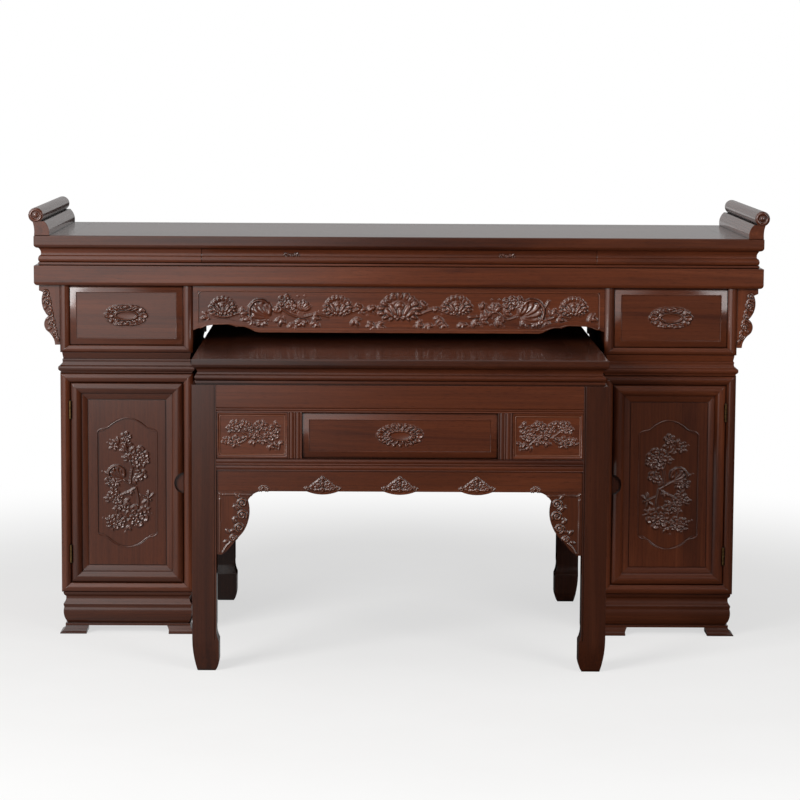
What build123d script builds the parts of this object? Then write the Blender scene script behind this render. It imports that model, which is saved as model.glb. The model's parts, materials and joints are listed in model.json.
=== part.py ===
from build123d import *
from math import cos, radians, sin
import os

# Chinese altar table set in dark hardwood: a high altar that stands on two
# cupboard pedestals, and a square offering table that slides out from under it.
# Millimetres, +Z up, +X to the right. The origin is on the floor, in the middle
# of the set's footprint, and the front faces -Y.

# ---------------------------------------------------------------- offering table
TABLE_WIDTH = 1058.0
TABLE_DEPTH = 1058.0
TABLE_LEG_H = 737.0          # floor to the top of the frame
TABLE_WAIST_H = 42.0
TABLE_SLAB_T = 24.0
TABLE_TOP_MEMBER = 85.0      # width of the members that frame the top
TABLE_PANEL_T = 12.0
TABLE_WAIST_INSET = 8.0      # slab face to the head of the waist
LEG_W = 62.0
LEG_INSET = 1.0              # legs and rails stand this far inside the slab face
HOOF_SWELL = 6.0
HOOF_TUCK = 13.0             # how far the outer corner draws in at the floor
HOOF_H = 118.0
UPPER_RAIL_H = 69.0
DRAWER_ROW_H = 118.0
LOWER_RAIL_H = 31.0
RAIL_T = 24.0
POST_W = 35.0
TABLE_DRAWER_W = 498.0       # opening between the posts
TABLE_DRAWER_L = 430.0       # length of the drawer box behind its front
PANEL_ROW_T = 14.0
PANEL_RECESS = 4.0           # row panels sit this far behind the rails' faces
PANEL_BORDER = 9.0           # sloped border round the sunk field
PANEL_SINK = 4.0
APRON_H = 54.0
APRON_T = 18.0
APRON_SETBACK = 6.0
APRON_MEDALLION_X = 196.5    # centre of the outer medallions
MEDALLION_HALF_W = 40.0
MEDALLION_DROP = 8.0
TABLE_SPANDREL_W = 112.0
TABLE_SPANDREL_H = 163.0

# ---------------------------------------------------------------- high altar
TABLE_AHEAD = 479.0          # the table's face stands this far before the altar's
TABLE_CLEARANCE = 26.0       # between the table and each pedestal
HEADROOM = 22.0              # between the table top and the frieze
ALTAR_DEPTH = 680.0
OVERHANG = 67.0              # slab past the pedestals, left and right
PEDESTAL_W = 358.0
PEDESTAL_SETBACK = 14.0      # pedestal face behind the slab face, front and back
FOOT_H = 21.0
FOOT_L = 72.0
FOOT_FLARE = 4.5             # how far the feet spread past the pedestal face
FOOT_NECK = 9.0              # top of the foot inside the pedestal face
PLINTH_H = 93.0
PLINTH_MEMBER = 45.0
CABINET_H = 600.0
BAND_H = 55.0
BAND_MEMBER = 40.0
BAND_BEAD = 4.6              # the band's bead stands this far past the pedestal
CASE_H = 181.0
CASE_RAIL = 20.0
FASCIA_H = 62.0
FASCIA_MEMBER = 60.0
FASCIA_ROUND = 10.0
WAIST_H = 39.0
WAIST_INSET = 11.0
WAIST_T = 23.0
SLAB_T = 34.0
TOP_MEMBER = 95.0
TOP_PANEL_T = 14.0
SCROLL_R = 20.0
SCROLL_RISE = 54.0           # slab top to the middle of the scroll
SCROLL_INSET = 6.5           # slab end to the middle of the scroll
SCROLL_FOOT_W = 42.0
STILE_W = 26.0
FRAME_T = 26.0
FRAME_RISE = 7.0             # how far a rounded member swells at its middle
WALL_T = 14.0
WALL_RECESS = 6.0
BACK_T = 12.0
SIDE_RAIL_H = 40.0
SHELF_RISE = 286.0           # top of the plinth to the underside of the shelf
SHELF_SETBACK = 20.0
FRIEZE_SETBACK = 22.0
FRIEZE_T = 20.0
FRIEZE_MARGIN = 14.0         # plain border round the sunk ground of the frieze
FRIEZE_SINK = 3.0
FRIEZE_RUN = 168.0           # length of the arched part at each end of the frieze
FRIEZE_ARCH_H = 19.0         # height of the arch over the straight edge
SPANDREL_W = 56.0
SPANDREL_H = 161.0
SPANDREL_T = 18.0

# ---------------------------------------------------------------- doors and drawers
DOOR_GAP = 1.0
DOOR_T = 22.0
DOOR_RISE = 8.0
DOOR_ROUND_W = 30.0          # rounded outer part of the door frame
DOOR_REBATE = 34.0           # outer edge of the door to the panel's edge
DOOR_LIP = 46.0              # outer edge of the door to the frame's inner lip
DOOR_FIELD = 48.0            # outer edge of the door to the raised field
DOOR_PANEL_T = 8.0
DOOR_FIELD_T = 3.0
CARTOUCHE_W = 162.0
CARTOUCHE_H = 354.0
CARTOUCHE_ARCH_H = 25.0
CARTOUCHE_SHOULDER_H = 12.0
CARTOUCHE_SHOULDER_W = 28.0
CARTOUCHE_SINK = 2.5
FINGER_PULL_W = 24.0
FINGER_PULL_H = 55.0
FINGER_PULL_RISE = 1.0       # middle of the door to the middle of its finger pull
HINGE_H = 48.0
LOWER_HINGE_RISE = 78.0      # bottom of the door to the middle of its lower hinge
UPPER_HINGE_DROP = 74.0      # top of the door to the middle of its upper hinge
HINGE_SETBACK = 3.0          # hinge axis behind the pedestal face
KNUCKLE_R = 3.5
KNUCKLE_SIDE_COUNT = 12
KNUCKLE_GAP = 0.3
PIN_R = 1.5
PIN_PLAY = 0.08
PIN_END = 1.0                # top of the pin below the top of the door's knuckle
LEAF_T = 1.5
LEAF_L = 20.0
BARREL_ROOM = 0.7            # the notch round the hinge barrel clears it by this
BARREL_END_ROOM = 1.0
FRONT_T = 20.0
FRONT_GAP = 1.0
FRONT_SETBACK = 3.0          # drawer fronts stand this far behind the frame round them
BEVEL_W = 16.0
BEVEL_H = 6.0
FIELD_LIP = 2.5
FIELD_SINK = 2.0
BOX_SIDE_T = 12.0
BOX_BOTTOM_T = 6.0
BOX_BOTTOM_RISE = 8.0
BOX_SIDE_GAP = 3.0           # drawer box inside its front, each side
CASE_DRAWER_L = 520.0
CASE_DRAWER_SIDE_H = 139.0
TABLE_DRAWER_SIDE_H = 98.0
RUNNER_CLEARANCE = 2.0       # the drawer sides clear the front rail by this
RUNNER_W = 28.0
GUIDE_H = 24.0
GUIDE_GAP = 1.0
LONG_DRAWER_W = 1064.0
LONG_DRAWER_L = 430.0
LONG_DRAWER_SIDE_H = 32.0
LONG_DRAWER_BOTTOM_T = 4.0
LONG_RUNNER_W = 65.0
LONG_RUNNER_T = 30.0
PULL_W = 118.0
PULL_H = 60.0
PULL_T = 6.0
PULL_CUP_W = 56.0
PULL_CUP_H = 22.0
PULL_CUP_DEPTH = 4.5
PULL_LOBES = 8
PULL_NOTCH = 0.1             # share of its reach by which the edge draws in between lobes
PULL_CREST = 0.45            # share of a lobe that its flat crest takes
SMALL_PULL_W = 48.0
SMALL_PULL_H = 20.0
SMALL_PULL_T = 5.0
SMALL_PULL_LOBES = 4
SMALL_PULL_X = 290.0

# ---------------------------------------------------------------- small mouldings
EASE = 2.5                   # eased arris on top of a slab
SLAB_ROUND = 10.0            # rounded lower edge of a slab
LEDGE = 10.0                 # rebate that carries a top panel
COVE_DEPTH = 3.0
WAIST_LEDGE = 6.0            # how far a waist's cove draws in below its head
BEAD_W = 10.0
QUIRK = 2.0                  # depth of the grooves beside a bead
BEAD_RISE = 1.5
EDGE_LINE_W = 1.6            # incised line along the inner edges of the legs
EDGE_LINE_INSET = 5.0
QUARTER = 0.293              # sagitta of a quarter round for each mm of radius

# ---------------------------------------------------------------- levels and planes
TABLE_HALF = TABLE_WIDTH / 2
TABLE_WAIST_TOP = TABLE_LEG_H + TABLE_WAIST_H
TABLE_TOP = TABLE_WAIST_TOP + TABLE_SLAB_T
ROW_TOP = TABLE_LEG_H - UPPER_RAIL_H
ROW_BOTTOM = ROW_TOP - DRAWER_ROW_H
APRON_TOP = ROW_BOTTOM - LOWER_RAIL_H
APRON_BOTTOM = APRON_TOP - APRON_H

PLINTH_TOP = FOOT_H + PLINTH_H
CABINET_TOP = PLINTH_TOP + CABINET_H
BAND_TOP = CABINET_TOP + BAND_H
CASE_TOP = BAND_TOP + CASE_H
WAIST_BOTTOM = CASE_TOP + FASCIA_H
SLAB_BOTTOM = WAIST_BOTTOM + WAIST_H
ALTAR_TOP = SLAB_BOTTOM + SLAB_T
FRIEZE_BOTTOM = TABLE_TOP + HEADROOM

PEDESTAL_IN = TABLE_HALF + TABLE_CLEARANCE
PEDESTAL_OUT = PEDESTAL_IN + PEDESTAL_W
PEDESTAL_MID = (PEDESTAL_IN + PEDESTAL_OUT) / 2
ALTAR_HALF = PEDESTAL_OUT + OVERHANG
OPENING_IN = PEDESTAL_IN + STILE_W
OPENING_OUT = PEDESTAL_OUT - STILE_W
WALL_IN = PEDESTAL_IN + WALL_RECESS + WALL_T
WALL_OUT = PEDESTAL_OUT - WALL_RECESS - WALL_T

SET_DEPTH = TABLE_AHEAD + ALTAR_DEPTH
TABLE_Y = -SET_DEPTH / 2
TABLE_MID_Y = TABLE_Y + TABLE_DEPTH / 2
ALTAR_Y = TABLE_Y + TABLE_AHEAD
ALTAR_BACK = ALTAR_Y + ALTAR_DEPTH
ALTAR_MID_Y = (ALTAR_Y + ALTAR_BACK) / 2
PEDESTAL_Y = ALTAR_Y + PEDESTAL_SETBACK
PEDESTAL_BACK = ALTAR_BACK - PEDESTAL_SETBACK
PEDESTAL_DEPTH = PEDESTAL_BACK - PEDESTAL_Y
FRAME_BACK = PEDESTAL_Y + FRAME_T
POST_FRONT = PEDESTAL_BACK - FRAME_T

DOOR_IN = OPENING_IN + DOOR_GAP
DOOR_OUT = OPENING_OUT - DOOR_GAP
DOOR_BOTTOM = PLINTH_TOP + STILE_W + DOOR_GAP
DOOR_TOP = CABINET_TOP - STILE_W - DOOR_GAP
DOOR_W = DOOR_OUT - DOOR_IN
DOOR_H = DOOR_TOP - DOOR_BOTTOM
DOOR_MID = ((DOOR_IN + DOOR_OUT) / 2, (DOOR_BOTTOM + DOOR_TOP) / 2)
HINGE_Z = (DOOR_BOTTOM + LOWER_HINGE_RISE, DOOR_TOP - UPPER_HINGE_DROP)
HINGE_X = OPENING_OUT - DOOR_GAP / 2
HINGE_Y = PEDESTAL_Y + HINGE_SETBACK
BARREL_NOTCH = KNUCKLE_R + BARREL_ROOM


# ---------------------------------------------------------------- drawing helpers
def swell(end, rise):
    """An outline step: a convex arc to end. Outlines keep the wood on their left."""
    return ("arc", end, -rise)


def cove(end, depth):
    """An outline step: a hollow arc to end."""
    return ("arc", end, depth)


def outline(start, *steps):
    """The face inside a closed outline of straight steps and arcs."""
    edges = []
    here = start
    for step in steps:
        if step[0] == "arc":
            edges.append(SagittaArc(here, step[1], step[2]).edge())
            here = step[1]
        else:
            edges.append(Line(here, step).edge())
            here = step
    if here != start:
        edges.append(Line(here, start).edge())
    return make_face(edges)


def board(x, y, z):
    """A plain board between the two ends given along each axis."""
    size = Box(abs(x[1] - x[0]), abs(y[1] - y[0]), abs(z[1] - z[0]))
    return Pos(sum(x) / 2, sum(y) / 2, sum(z) / 2) * size


def front_plane(x, y, z):
    """A plane that faces the viewer: its x is +X, its y is +Z, its normal is -Y."""
    return Plane(origin=(x, y, z), x_dir=(1, 0, 0), z_dir=(0, -1, 0))


def bar(face, half_length, y=0.0):
    """A straight member along X, from a face drawn as (distance inward, height)."""
    plane = Plane(origin=(0, y, 0), x_dir=(0, 1, 0), z_dir=(1, 0, 0))
    return extrude(plane * face, amount=half_length, both=True)


def mitred(width, height, rail_face, stile_face=None, slope=1.0):
    """Four members round a width x height rectangle, mitred at its corners.

    Faces are drawn as (distance in from the outer edge, height above the plane).
    slope is the stile's width over the rail's. The order is low, right, high, left.
    """
    members = []
    for turn in range(4):
        is_rail = turn % 2 == 0
        face = rail_face if is_rail or stile_face is None else stile_face
        length, offset = (width, height / 2) if is_rail else (height, width / 2)
        run = slope if is_rail else 1 / slope
        box = face.bounding_box()
        out = 1.0 - min(0.0, box.min.X)
        deep = box.max.X + 1.0
        long_half = length / 2 + run * out
        short_half = length / 2 - run * deep
        corners = [(-long_half, -offset - out), (long_half, -offset - out),
                   (short_half, deep - offset), (-short_half, deep - offset)]
        low = box.min.Y - 1.0
        prism = extrude(Plane.XY.offset(low) * outline(*corners), amount=box.max.Y + 1.0 - low)
        members.append(Rot(0, 0, 90 * turn) * (bar(face, long_half, -offset) & prism))
    return members


def ring(mid_y, width, depth, face):
    """Four mitred members that run level round a body centred on the X axis."""
    return [Pos(0, mid_y, 0) * member for member in mitred(width, depth, face)]


def rounded_face(width, thickness, rise):
    """Section of a frame member whose front swells to its full thickness."""
    edge = thickness - rise
    return outline((0, edge), (0, 0), (width, 0), (width, edge), swell((0, edge), rise))


def slab_face(bottom, top, member, panel_t):
    """Edge of a framed top, with the rebate that carries its panel."""
    return outline(
        (EASE, top),
        (0, top - EASE),
        (0, bottom + SLAB_ROUND),
        swell((SLAB_ROUND, bottom), QUARTER * SLAB_ROUND),
        (member + LEDGE, bottom),
        (member + LEDGE, top - panel_t),
        (member, top - panel_t),
        (member, top),
    )


def waist_steps(top, drop, inset):
    """Cove, ledge and half-round that every waist shares, drop high in all."""
    cove_end = top - 0.5 * drop
    return [
        (inset, top),
        cove((inset + WAIST_LEDGE, cove_end), COVE_DEPTH),
        (inset + 3.5, cove_end - 1),
        swell((inset + 2, top - drop + QUIRK), COVE_DEPTH),
        (inset + 4, top - drop),
    ]


def bead_steps(face, centre, width=BEAD_W):
    """Outline steps of a bead planed in three flats between two quirks, going down."""
    crest = face + QUIRK - BEAD_RISE
    return [
        (face, centre + width / 2 + QUIRK),
        (face + QUIRK, centre + width / 2),
        (crest, centre + width / 4),
        (crest, centre - width / 4),
        (face + QUIRK, centre - width / 2),
        (face, centre - width / 2 - QUIRK),
    ]


def double_bead_face(width, thickness):
    """Section of a member with two half-round beads along its face."""
    spacing = BEAD_W + 3 * QUIRK
    steps = bead_steps(0, (width + spacing) / 2) + bead_steps(0, (width - spacing) / 2)
    return outline((0, width), *steps, (0, 0), (thickness, 0), (thickness, width))


def pillow_front(width, height):
    """Drawer front: bevelled border, narrow lip and sunk field, back face at 0."""
    base_t = FRONT_T - BEVEL_H
    crest = (width - 2 * BEVEL_W, height - 2 * BEVEL_W)
    base = Pos(0, 0, base_t / 2) * Box(width, height, base_t)
    low = Plane.XY.offset(base_t) * Rectangle(width, height)
    high = Plane.XY.offset(FRONT_T) * Rectangle(*crest)
    bevel = loft([low, high], ruled=True)
    field = Box(crest[0] - 2 * FIELD_LIP, crest[1] - 2 * FIELD_LIP, 2 * FIELD_SINK)
    return base + bevel - Pos(0, 0, FRONT_T) * field


def sunk_panel(width, height):
    """Board with a sloped border down to a sunk field, back face at 0."""
    floor = PANEL_ROW_T - PANEL_SINK
    low = Plane.XY.offset(floor) * Rectangle(width - 2 * PANEL_BORDER, height - 2 * PANEL_BORDER)
    mouth = PANEL_BORDER - PANEL_SINK
    high = Plane.XY.offset(PANEL_ROW_T) * Rectangle(width - 2 * mouth, height - 2 * mouth)
    block = Pos(0, 0, PANEL_ROW_T / 2) * Box(width, height, PANEL_ROW_T)
    return block - loft([low, high], ruled=True)


def drawer_box(x, front_back, length, z, side_h, bottom_t, bottom_rise):
    """Sides, back and bottom of a drawer, in that order; x gives its outer faces."""
    y = (front_back, front_back + length)
    tops = (z, z + side_h)
    inner = (x[0] + BOX_SIDE_T, x[1] - BOX_SIDE_T)
    floor = (z + bottom_rise, z + bottom_rise + bottom_t)
    left = board((x[0], inner[0]), y, tops)
    right = board((inner[1], x[1]), y, tops)
    back = board(inner, (y[1] - BOX_SIDE_T, y[1]), (floor[1], z + side_h - bottom_t))
    bottom = board(inner, y, floor)
    return [left, right, back, bottom]


def lobed_plate(width, height, thickness, lobes):
    """Oval plate with a lobed edge, back face at 0."""
    half_lobe = radians(180 / lobes)
    crest = PULL_CREST * half_lobe
    full = 1 / cos(crest)
    corners = []
    for lobe in range(lobes):
        turn = 2 * lobe * half_lobe
        for angle, reach in ((turn - half_lobe, 1 - PULL_NOTCH), (turn - crest, full), (turn + crest, full)):
            corners.append((reach * width / 2 * cos(angle), reach * height / 2 * sin(angle)))
    return extrude(outline(*corners), amount=thickness)


def oval_pull():
    """Escutcheon of a deep drawer, with its finger cup, back face at 0."""
    hollow = extrude(Ellipse(PULL_CUP_W / 2, PULL_CUP_H / 2), amount=PULL_CUP_DEPTH)
    return lobed_plate(PULL_W, PULL_H, PULL_T, PULL_LOBES) - Pos(0, 0, PULL_T - PULL_CUP_DEPTH) * hollow


def save(node, *pieces):
    """Write one node's solids to its STEP file."""
    solids = []
    for piece in pieces:
        solids += piece.solids()
    export_step(Compound(solids), f"parts/{node}.step")


def save_pair(node, *pieces):
    """Write a right-hand node and its mirror image on the left."""
    save(f"right_{node}", *pieces)
    save(f"left_{node}", *[mirror(piece, about=Plane.YZ) for piece in pieces])


# ---------------------------------------------------------------- altar top
def altar_top_frame():
    face = slab_face(SLAB_BOTTOM, ALTAR_TOP, TOP_MEMBER, TOP_PANEL_T)
    return ring(ALTAR_MID_Y, 2 * ALTAR_HALF, ALTAR_DEPTH, face)


def altar_top_panel():
    x = ALTAR_HALF - TOP_MEMBER
    y = (ALTAR_Y + TOP_MEMBER, ALTAR_BACK - TOP_MEMBER)
    return board((-x, x), y, (ALTAR_TOP - TOP_PANEL_T, ALTAR_TOP))


def scroll_end():
    """Rolled end on the right: a cylinder over a bulging block."""
    x = ALTAR_HALF - SCROLL_INSET
    z = ALTAR_TOP + SCROLL_RISE
    inner = ALTAR_HALF - SCROLL_FOOT_W
    block = outline(
        (inner, ALTAR_TOP),
        (ALTAR_HALF - 1.5, ALTAR_TOP),
        cove((ALTAR_HALF + 2, z - SCROLL_R + 2), 2),
        (x - SCROLL_R - 2, z - SCROLL_R + 4),
        swell((inner, ALTAR_TOP + 4), 4.5),
    )
    plane = front_plane(0, ALTAR_BACK, 0)
    return extrude(plane * (block + Pos(x, z) * Circle(SCROLL_R)), amount=ALTAR_DEPTH)


# ---------------------------------------------------------------- altar body
def waist_ring():
    steps = waist_steps(SLAB_BOTTOM, WAIST_H, WAIST_INSET)
    back = WAIST_INSET + WAIST_T
    face = outline(*steps, (back, WAIST_BOTTOM), (back, SLAB_BOTTOM))
    return ring(ALTAR_MID_Y, 2 * ALTAR_HALF, ALTAR_DEPTH, face)


def altar_waist(members):
    """Side and back waist boards, and the front one to either side of the drawer."""
    front, right, back, left = members
    half = LONG_DRAWER_W / 2
    reach = (ALTAR_Y - 1, ALTAR_Y + 100)
    levels = (WAIST_BOTTOM - 1, SLAB_BOTTOM + 1)
    ends = [front & board((side * half, side * ALTAR_HALF), reach, levels) for side in (-1, 1)]
    return [right, back, left] + ends


def long_drawer_front(members):
    """The middle of the waist's front, cut free as a hidden drawer."""
    half = LONG_DRAWER_W / 2 - FRONT_GAP
    levels = (WAIST_BOTTOM + FRONT_GAP, SLAB_BOTTOM - FRONT_GAP)
    return members[0] & board((-half, half), (ALTAR_Y - 1, ALTAR_Y + 100), levels)


def altar_fascia():
    top_bead = WAIST_INSET
    face = outline(
        (top_bead, WAIST_BOTTOM),
        (top_bead, WAIST_BOTTOM - 6),
        (top_bead + 2, WAIST_BOTTOM - 7),
        (1, WAIST_BOTTOM - 8),
        (0, WAIST_BOTTOM - 9),
        (0, CASE_TOP + FASCIA_ROUND),
        swell((FASCIA_ROUND, CASE_TOP), QUARTER * FASCIA_ROUND),
        (FASCIA_MEMBER, CASE_TOP),
        (FASCIA_MEMBER, WAIST_BOTTOM),
    )
    return ring(ALTAR_MID_Y, 2 * ALTAR_HALF, ALTAR_DEPTH, face)


def long_drawer_runners():
    """Rails across the fascia frame with a guide strip on each."""
    pieces = []
    guide_x = LONG_DRAWER_W / 2 - BOX_SIDE_GAP + GUIDE_GAP
    rail_x = guide_x + BOX_SIDE_T
    waist_back = WAIST_INSET + WAIST_T
    rail_y = (ALTAR_Y + FASCIA_MEMBER, ALTAR_BACK - FASCIA_MEMBER)
    guide_y = (ALTAR_Y + waist_back, ALTAR_BACK - waist_back)
    for side in (-1, 1):
        rail = (side * (rail_x - LONG_RUNNER_W), side * rail_x)
        guide = (side * guide_x, side * rail_x)
        pieces.append(board(rail, rail_y, (WAIST_BOTTOM - LONG_RUNNER_T, WAIST_BOTTOM)))
        pieces.append(board(guide, guide_y, (WAIST_BOTTOM, WAIST_BOTTOM + GUIDE_H)))
    return pieces


def frieze_outline():
    """Frieze with a flat lower edge that arches up and cusps at both ends."""
    half = PEDESTAL_IN
    low = FRIEZE_BOTTOM
    run = FRIEZE_RUN
    tall = FRIEZE_ARCH_H
    steps = [(0, 0.15), (0.56, 1), (0.7, 0.63), (0.82, 0.68), (1, 0)]
    rise = [(half - share * run, 2 + height * tall) for share, height in steps]
    left = [(-x, low + z) for x, z in rise]
    right = [(x, low + z) for x, z in reversed(rise)]
    return outline(
        left[0],
        cove(left[1], 6),
        cove(left[2], 1),
        cove(left[3], 2),
        cove(left[4], 1),
        (left[4][0] + 10, low),
        (right[0][0] - 10, low),
        right[0],
        cove(right[1], 1),
        cove(right[2], 2),
        cove(right[3], 1),
        cove(right[4], 6),
        (half, CASE_TOP),
        (-half, CASE_TOP),
    )


def frieze():
    """Board under the fascia with a sunk ground for its carving."""
    face = frieze_outline()
    front = ALTAR_Y + FRIEZE_SETBACK
    slab = extrude(front_plane(0, front + FRIEZE_T, 0) * face, amount=FRIEZE_T)
    ground = offset(face, amount=-FRIEZE_MARGIN)
    sink = extrude(front_plane(0, front + FRIEZE_SINK, 0) * ground, amount=2 * FRIEZE_SINK)
    return slab - sink


def back_rail():
    """Plain rail between the rear posts, as deep as the frieze."""
    y = (POST_FRONT, POST_FRONT + FRIEZE_T)
    return board((-PEDESTAL_IN, PEDESTAL_IN), y, (FRIEZE_BOTTOM, CASE_TOP))


def spandrels():
    """Scroll-edged brackets under the slab's overhang, front and back, on the right."""
    face = outline(
        (PEDESTAL_OUT, CASE_TOP),
        (PEDESTAL_OUT, CASE_TOP - SPANDREL_H),
        (PEDESTAL_OUT + 0.25 * SPANDREL_W, CASE_TOP - SPANDREL_H),
        cove((PEDESTAL_OUT + 0.54 * SPANDREL_W, CASE_TOP - 0.79 * SPANDREL_H), 4),
        swell((PEDESTAL_OUT + 0.56 * SPANDREL_W, CASE_TOP - 0.52 * SPANDREL_H), 12),
        swell((PEDESTAL_OUT + 0.8 * SPANDREL_W, CASE_TOP - 0.12 * SPANDREL_H), 10),
        (PEDESTAL_OUT + SPANDREL_W, CASE_TOP - 0.09 * SPANDREL_H),
        (PEDESTAL_OUT + SPANDREL_W, CASE_TOP),
    )
    pieces = []
    for back in (FRAME_BACK, PEDESTAL_BACK - FRAME_RISE):
        pieces.append(extrude(front_plane(0, back, 0) * face, amount=SPANDREL_T))
    return pieces


# ---------------------------------------------------------------- pedestals, right side
def case_frame():
    """Rounded frame round the upper drawer, open at the top, and two rear stiles."""
    stile = rounded_face(STILE_W, FRAME_T, FRAME_RISE)
    rail = rounded_face(CASE_RAIL, FRAME_T, FRAME_RISE)
    tall = CASE_H + CASE_RAIL
    plane = front_plane(PEDESTAL_MID, FRAME_BACK, BAND_TOP + tall / 2)
    members = mitred(PEDESTAL_W, tall, rail, stile, STILE_W / CASE_RAIL)
    below = board((0, 2 * PEDESTAL_OUT), (PEDESTAL_Y - 50, PEDESTAL_BACK), (0, CASE_TOP))
    front = [(plane * members[side]) & below for side in (0, 1, 3)]
    levels = (BAND_TOP, CASE_TOP)
    y = (POST_FRONT, PEDESTAL_BACK)
    rear = [board((PEDESTAL_IN, OPENING_IN), y, levels), board((OPENING_OUT, PEDESTAL_OUT), y, levels)]
    return front + rear


def walls(z, back_z):
    """Inner wall, outer wall and back of a pedestal, let in behind its frame."""
    y = (FRAME_BACK, POST_FRONT)
    inner = board((PEDESTAL_IN + WALL_RECESS, WALL_IN), y, z)
    outer = board((WALL_OUT, PEDESTAL_OUT - WALL_RECESS), y, z)
    back_y = (PEDESTAL_BACK - WALL_RECESS - BACK_T, PEDESTAL_BACK - WALL_RECESS)
    back = board((OPENING_IN, OPENING_OUT), back_y, back_z)
    return [inner, outer, back]


def case_panels():
    """Walls of the drawer case and the dust board inside the band."""
    x = (PEDESTAL_IN + BAND_MEMBER, PEDESTAL_OUT - BAND_MEMBER)
    y = (PEDESTAL_Y + BAND_MEMBER, PEDESTAL_BACK - BAND_MEMBER)
    floor = board(x, y, (BAND_TOP - WALL_T, BAND_TOP))
    return walls((BAND_TOP, CASE_TOP), (BAND_TOP, CASE_TOP)) + [floor]


def case_runners():
    """A runner and a guide for each side of the upper drawer."""
    pieces = []
    y = (FRAME_BACK, POST_FRONT)
    top = BAND_TOP + CASE_RAIL + RUNNER_CLEARANCE
    guide_in = DOOR_IN + BOX_SIDE_GAP - GUIDE_GAP
    guide_out = DOOR_OUT - BOX_SIDE_GAP + GUIDE_GAP
    pieces.append(board((WALL_IN, WALL_IN + RUNNER_W), y, (BAND_TOP, top)))
    pieces.append(board((WALL_OUT - RUNNER_W, WALL_OUT), y, (BAND_TOP, top)))
    pieces.append(board((WALL_IN, guide_in), y, (top, top + GUIDE_H)))
    pieces.append(board((guide_out, WALL_OUT), y, (top, top + GUIDE_H)))
    return pieces


def band():
    """Moulded band between the cabinet and the drawer case."""
    face = outline(
        (5, BAND_TOP),
        (8.5, BAND_TOP - 17),
        (6, BAND_TOP - 18),
        (6, BAND_TOP - 22),
        cove((1 - BAND_BEAD, BAND_TOP - 37), 4),
        (-BAND_BEAD, BAND_TOP - 39.5),
        (-BAND_BEAD, BAND_TOP - 44.5),
        (1 - BAND_BEAD, BAND_TOP - 47),
        (2, CABINET_TOP + 3),
        (2, CABINET_TOP),
        (BAND_MEMBER, CABINET_TOP),
        (BAND_MEMBER, BAND_TOP),
    )
    return [Pos(PEDESTAL_MID, ALTAR_MID_Y, 0) * m for m in mitred(PEDESTAL_W, PEDESTAL_DEPTH, face)]


def hinge_cuts():
    """Mortises for both leaves of each hinge, and a notch round its barrel."""
    cuts = []
    leaf_x = (DOOR_OUT - LEAF_T, OPENING_OUT + LEAF_T)
    notch_x = (HINGE_X - BARREL_NOTCH, HINGE_X + BARREL_NOTCH)
    notch_y = (HINGE_Y - BARREL_NOTCH, HINGE_Y + BARREL_NOTCH)
    for z in HINGE_Z:
        levels = (z - HINGE_H / 2, z + HINGE_H / 2)
        notch_z = (levels[0] - BARREL_END_ROOM, levels[1] + BARREL_END_ROOM)
        cuts.append(board(notch_x, notch_y, notch_z))
        cuts.append(board(leaf_x, (HINGE_Y, HINGE_Y + LEAF_L), levels))
    return cuts


def cabinet_frame():
    """Rounded front frame, rear posts and side rails of the cupboard."""
    face = rounded_face(STILE_W, FRAME_T, FRAME_RISE)
    plane = front_plane(PEDESTAL_MID, FRAME_BACK, (PLINTH_TOP + CABINET_TOP) / 2)
    front = [plane * member for member in mitred(PEDESTAL_W, CABINET_H, face)]
    for cut in hinge_cuts():
        front[1] = front[1] - cut
    levels = (PLINTH_TOP, CABINET_TOP)
    y = (POST_FRONT, PEDESTAL_BACK)
    posts = [board((PEDESTAL_IN, OPENING_IN), y, levels), board((OPENING_OUT, PEDESTAL_OUT), y, levels)]
    rails = []
    for z in ((PLINTH_TOP, PLINTH_TOP + SIDE_RAIL_H), (CABINET_TOP - SIDE_RAIL_H, CABINET_TOP)):
        for x in ((PEDESTAL_IN, WALL_IN), (WALL_OUT, PEDESTAL_OUT)):
            rails.append(board(x, (FRAME_BACK, POST_FRONT), z))
    return front + posts + rails


def cabinet_panels():
    """Side and back panels, roof and floor of the cupboard."""
    side_z = (PLINTH_TOP + SIDE_RAIL_H, CABINET_TOP - SIDE_RAIL_H)
    sides = walls(side_z, (PLINTH_TOP, CABINET_TOP))
    x = (WALL_IN, WALL_OUT)
    y = (FRAME_BACK, POST_FRONT)
    floor = board(x, y, (PLINTH_TOP, PLINTH_TOP + WALL_T))
    roof = board(x, y, (CABINET_TOP - WALL_T, CABINET_TOP))
    return sides + [floor, roof]


def shelf():
    z = PLINTH_TOP + SHELF_RISE
    return board((WALL_IN, WALL_OUT), (FRAME_BACK + SHELF_SETBACK, POST_FRONT), (z, z + WALL_T))


def plinth():
    """Moulded base ring: a cove over a heavy cushion."""
    top = PLINTH_TOP
    face = outline(
        (4, top),
        (5.5, top - 7),
        (10.5, top - 12),
        cove((4, top - 33), 3),
        (5, top - 38),
        (6, top - 41),
        swell((14.5, FOOT_H + 8), 5),
        (14.5, FOOT_H + 6),
        (9, FOOT_H + 6),
        (9, FOOT_H),
        (PLINTH_MEMBER, FOOT_H),
        (PLINTH_MEMBER, top),
    )
    return [Pos(PEDESTAL_MID, ALTAR_MID_Y, 0) * m for m in mitred(PEDESTAL_W, PEDESTAL_DEPTH, face)]


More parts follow.
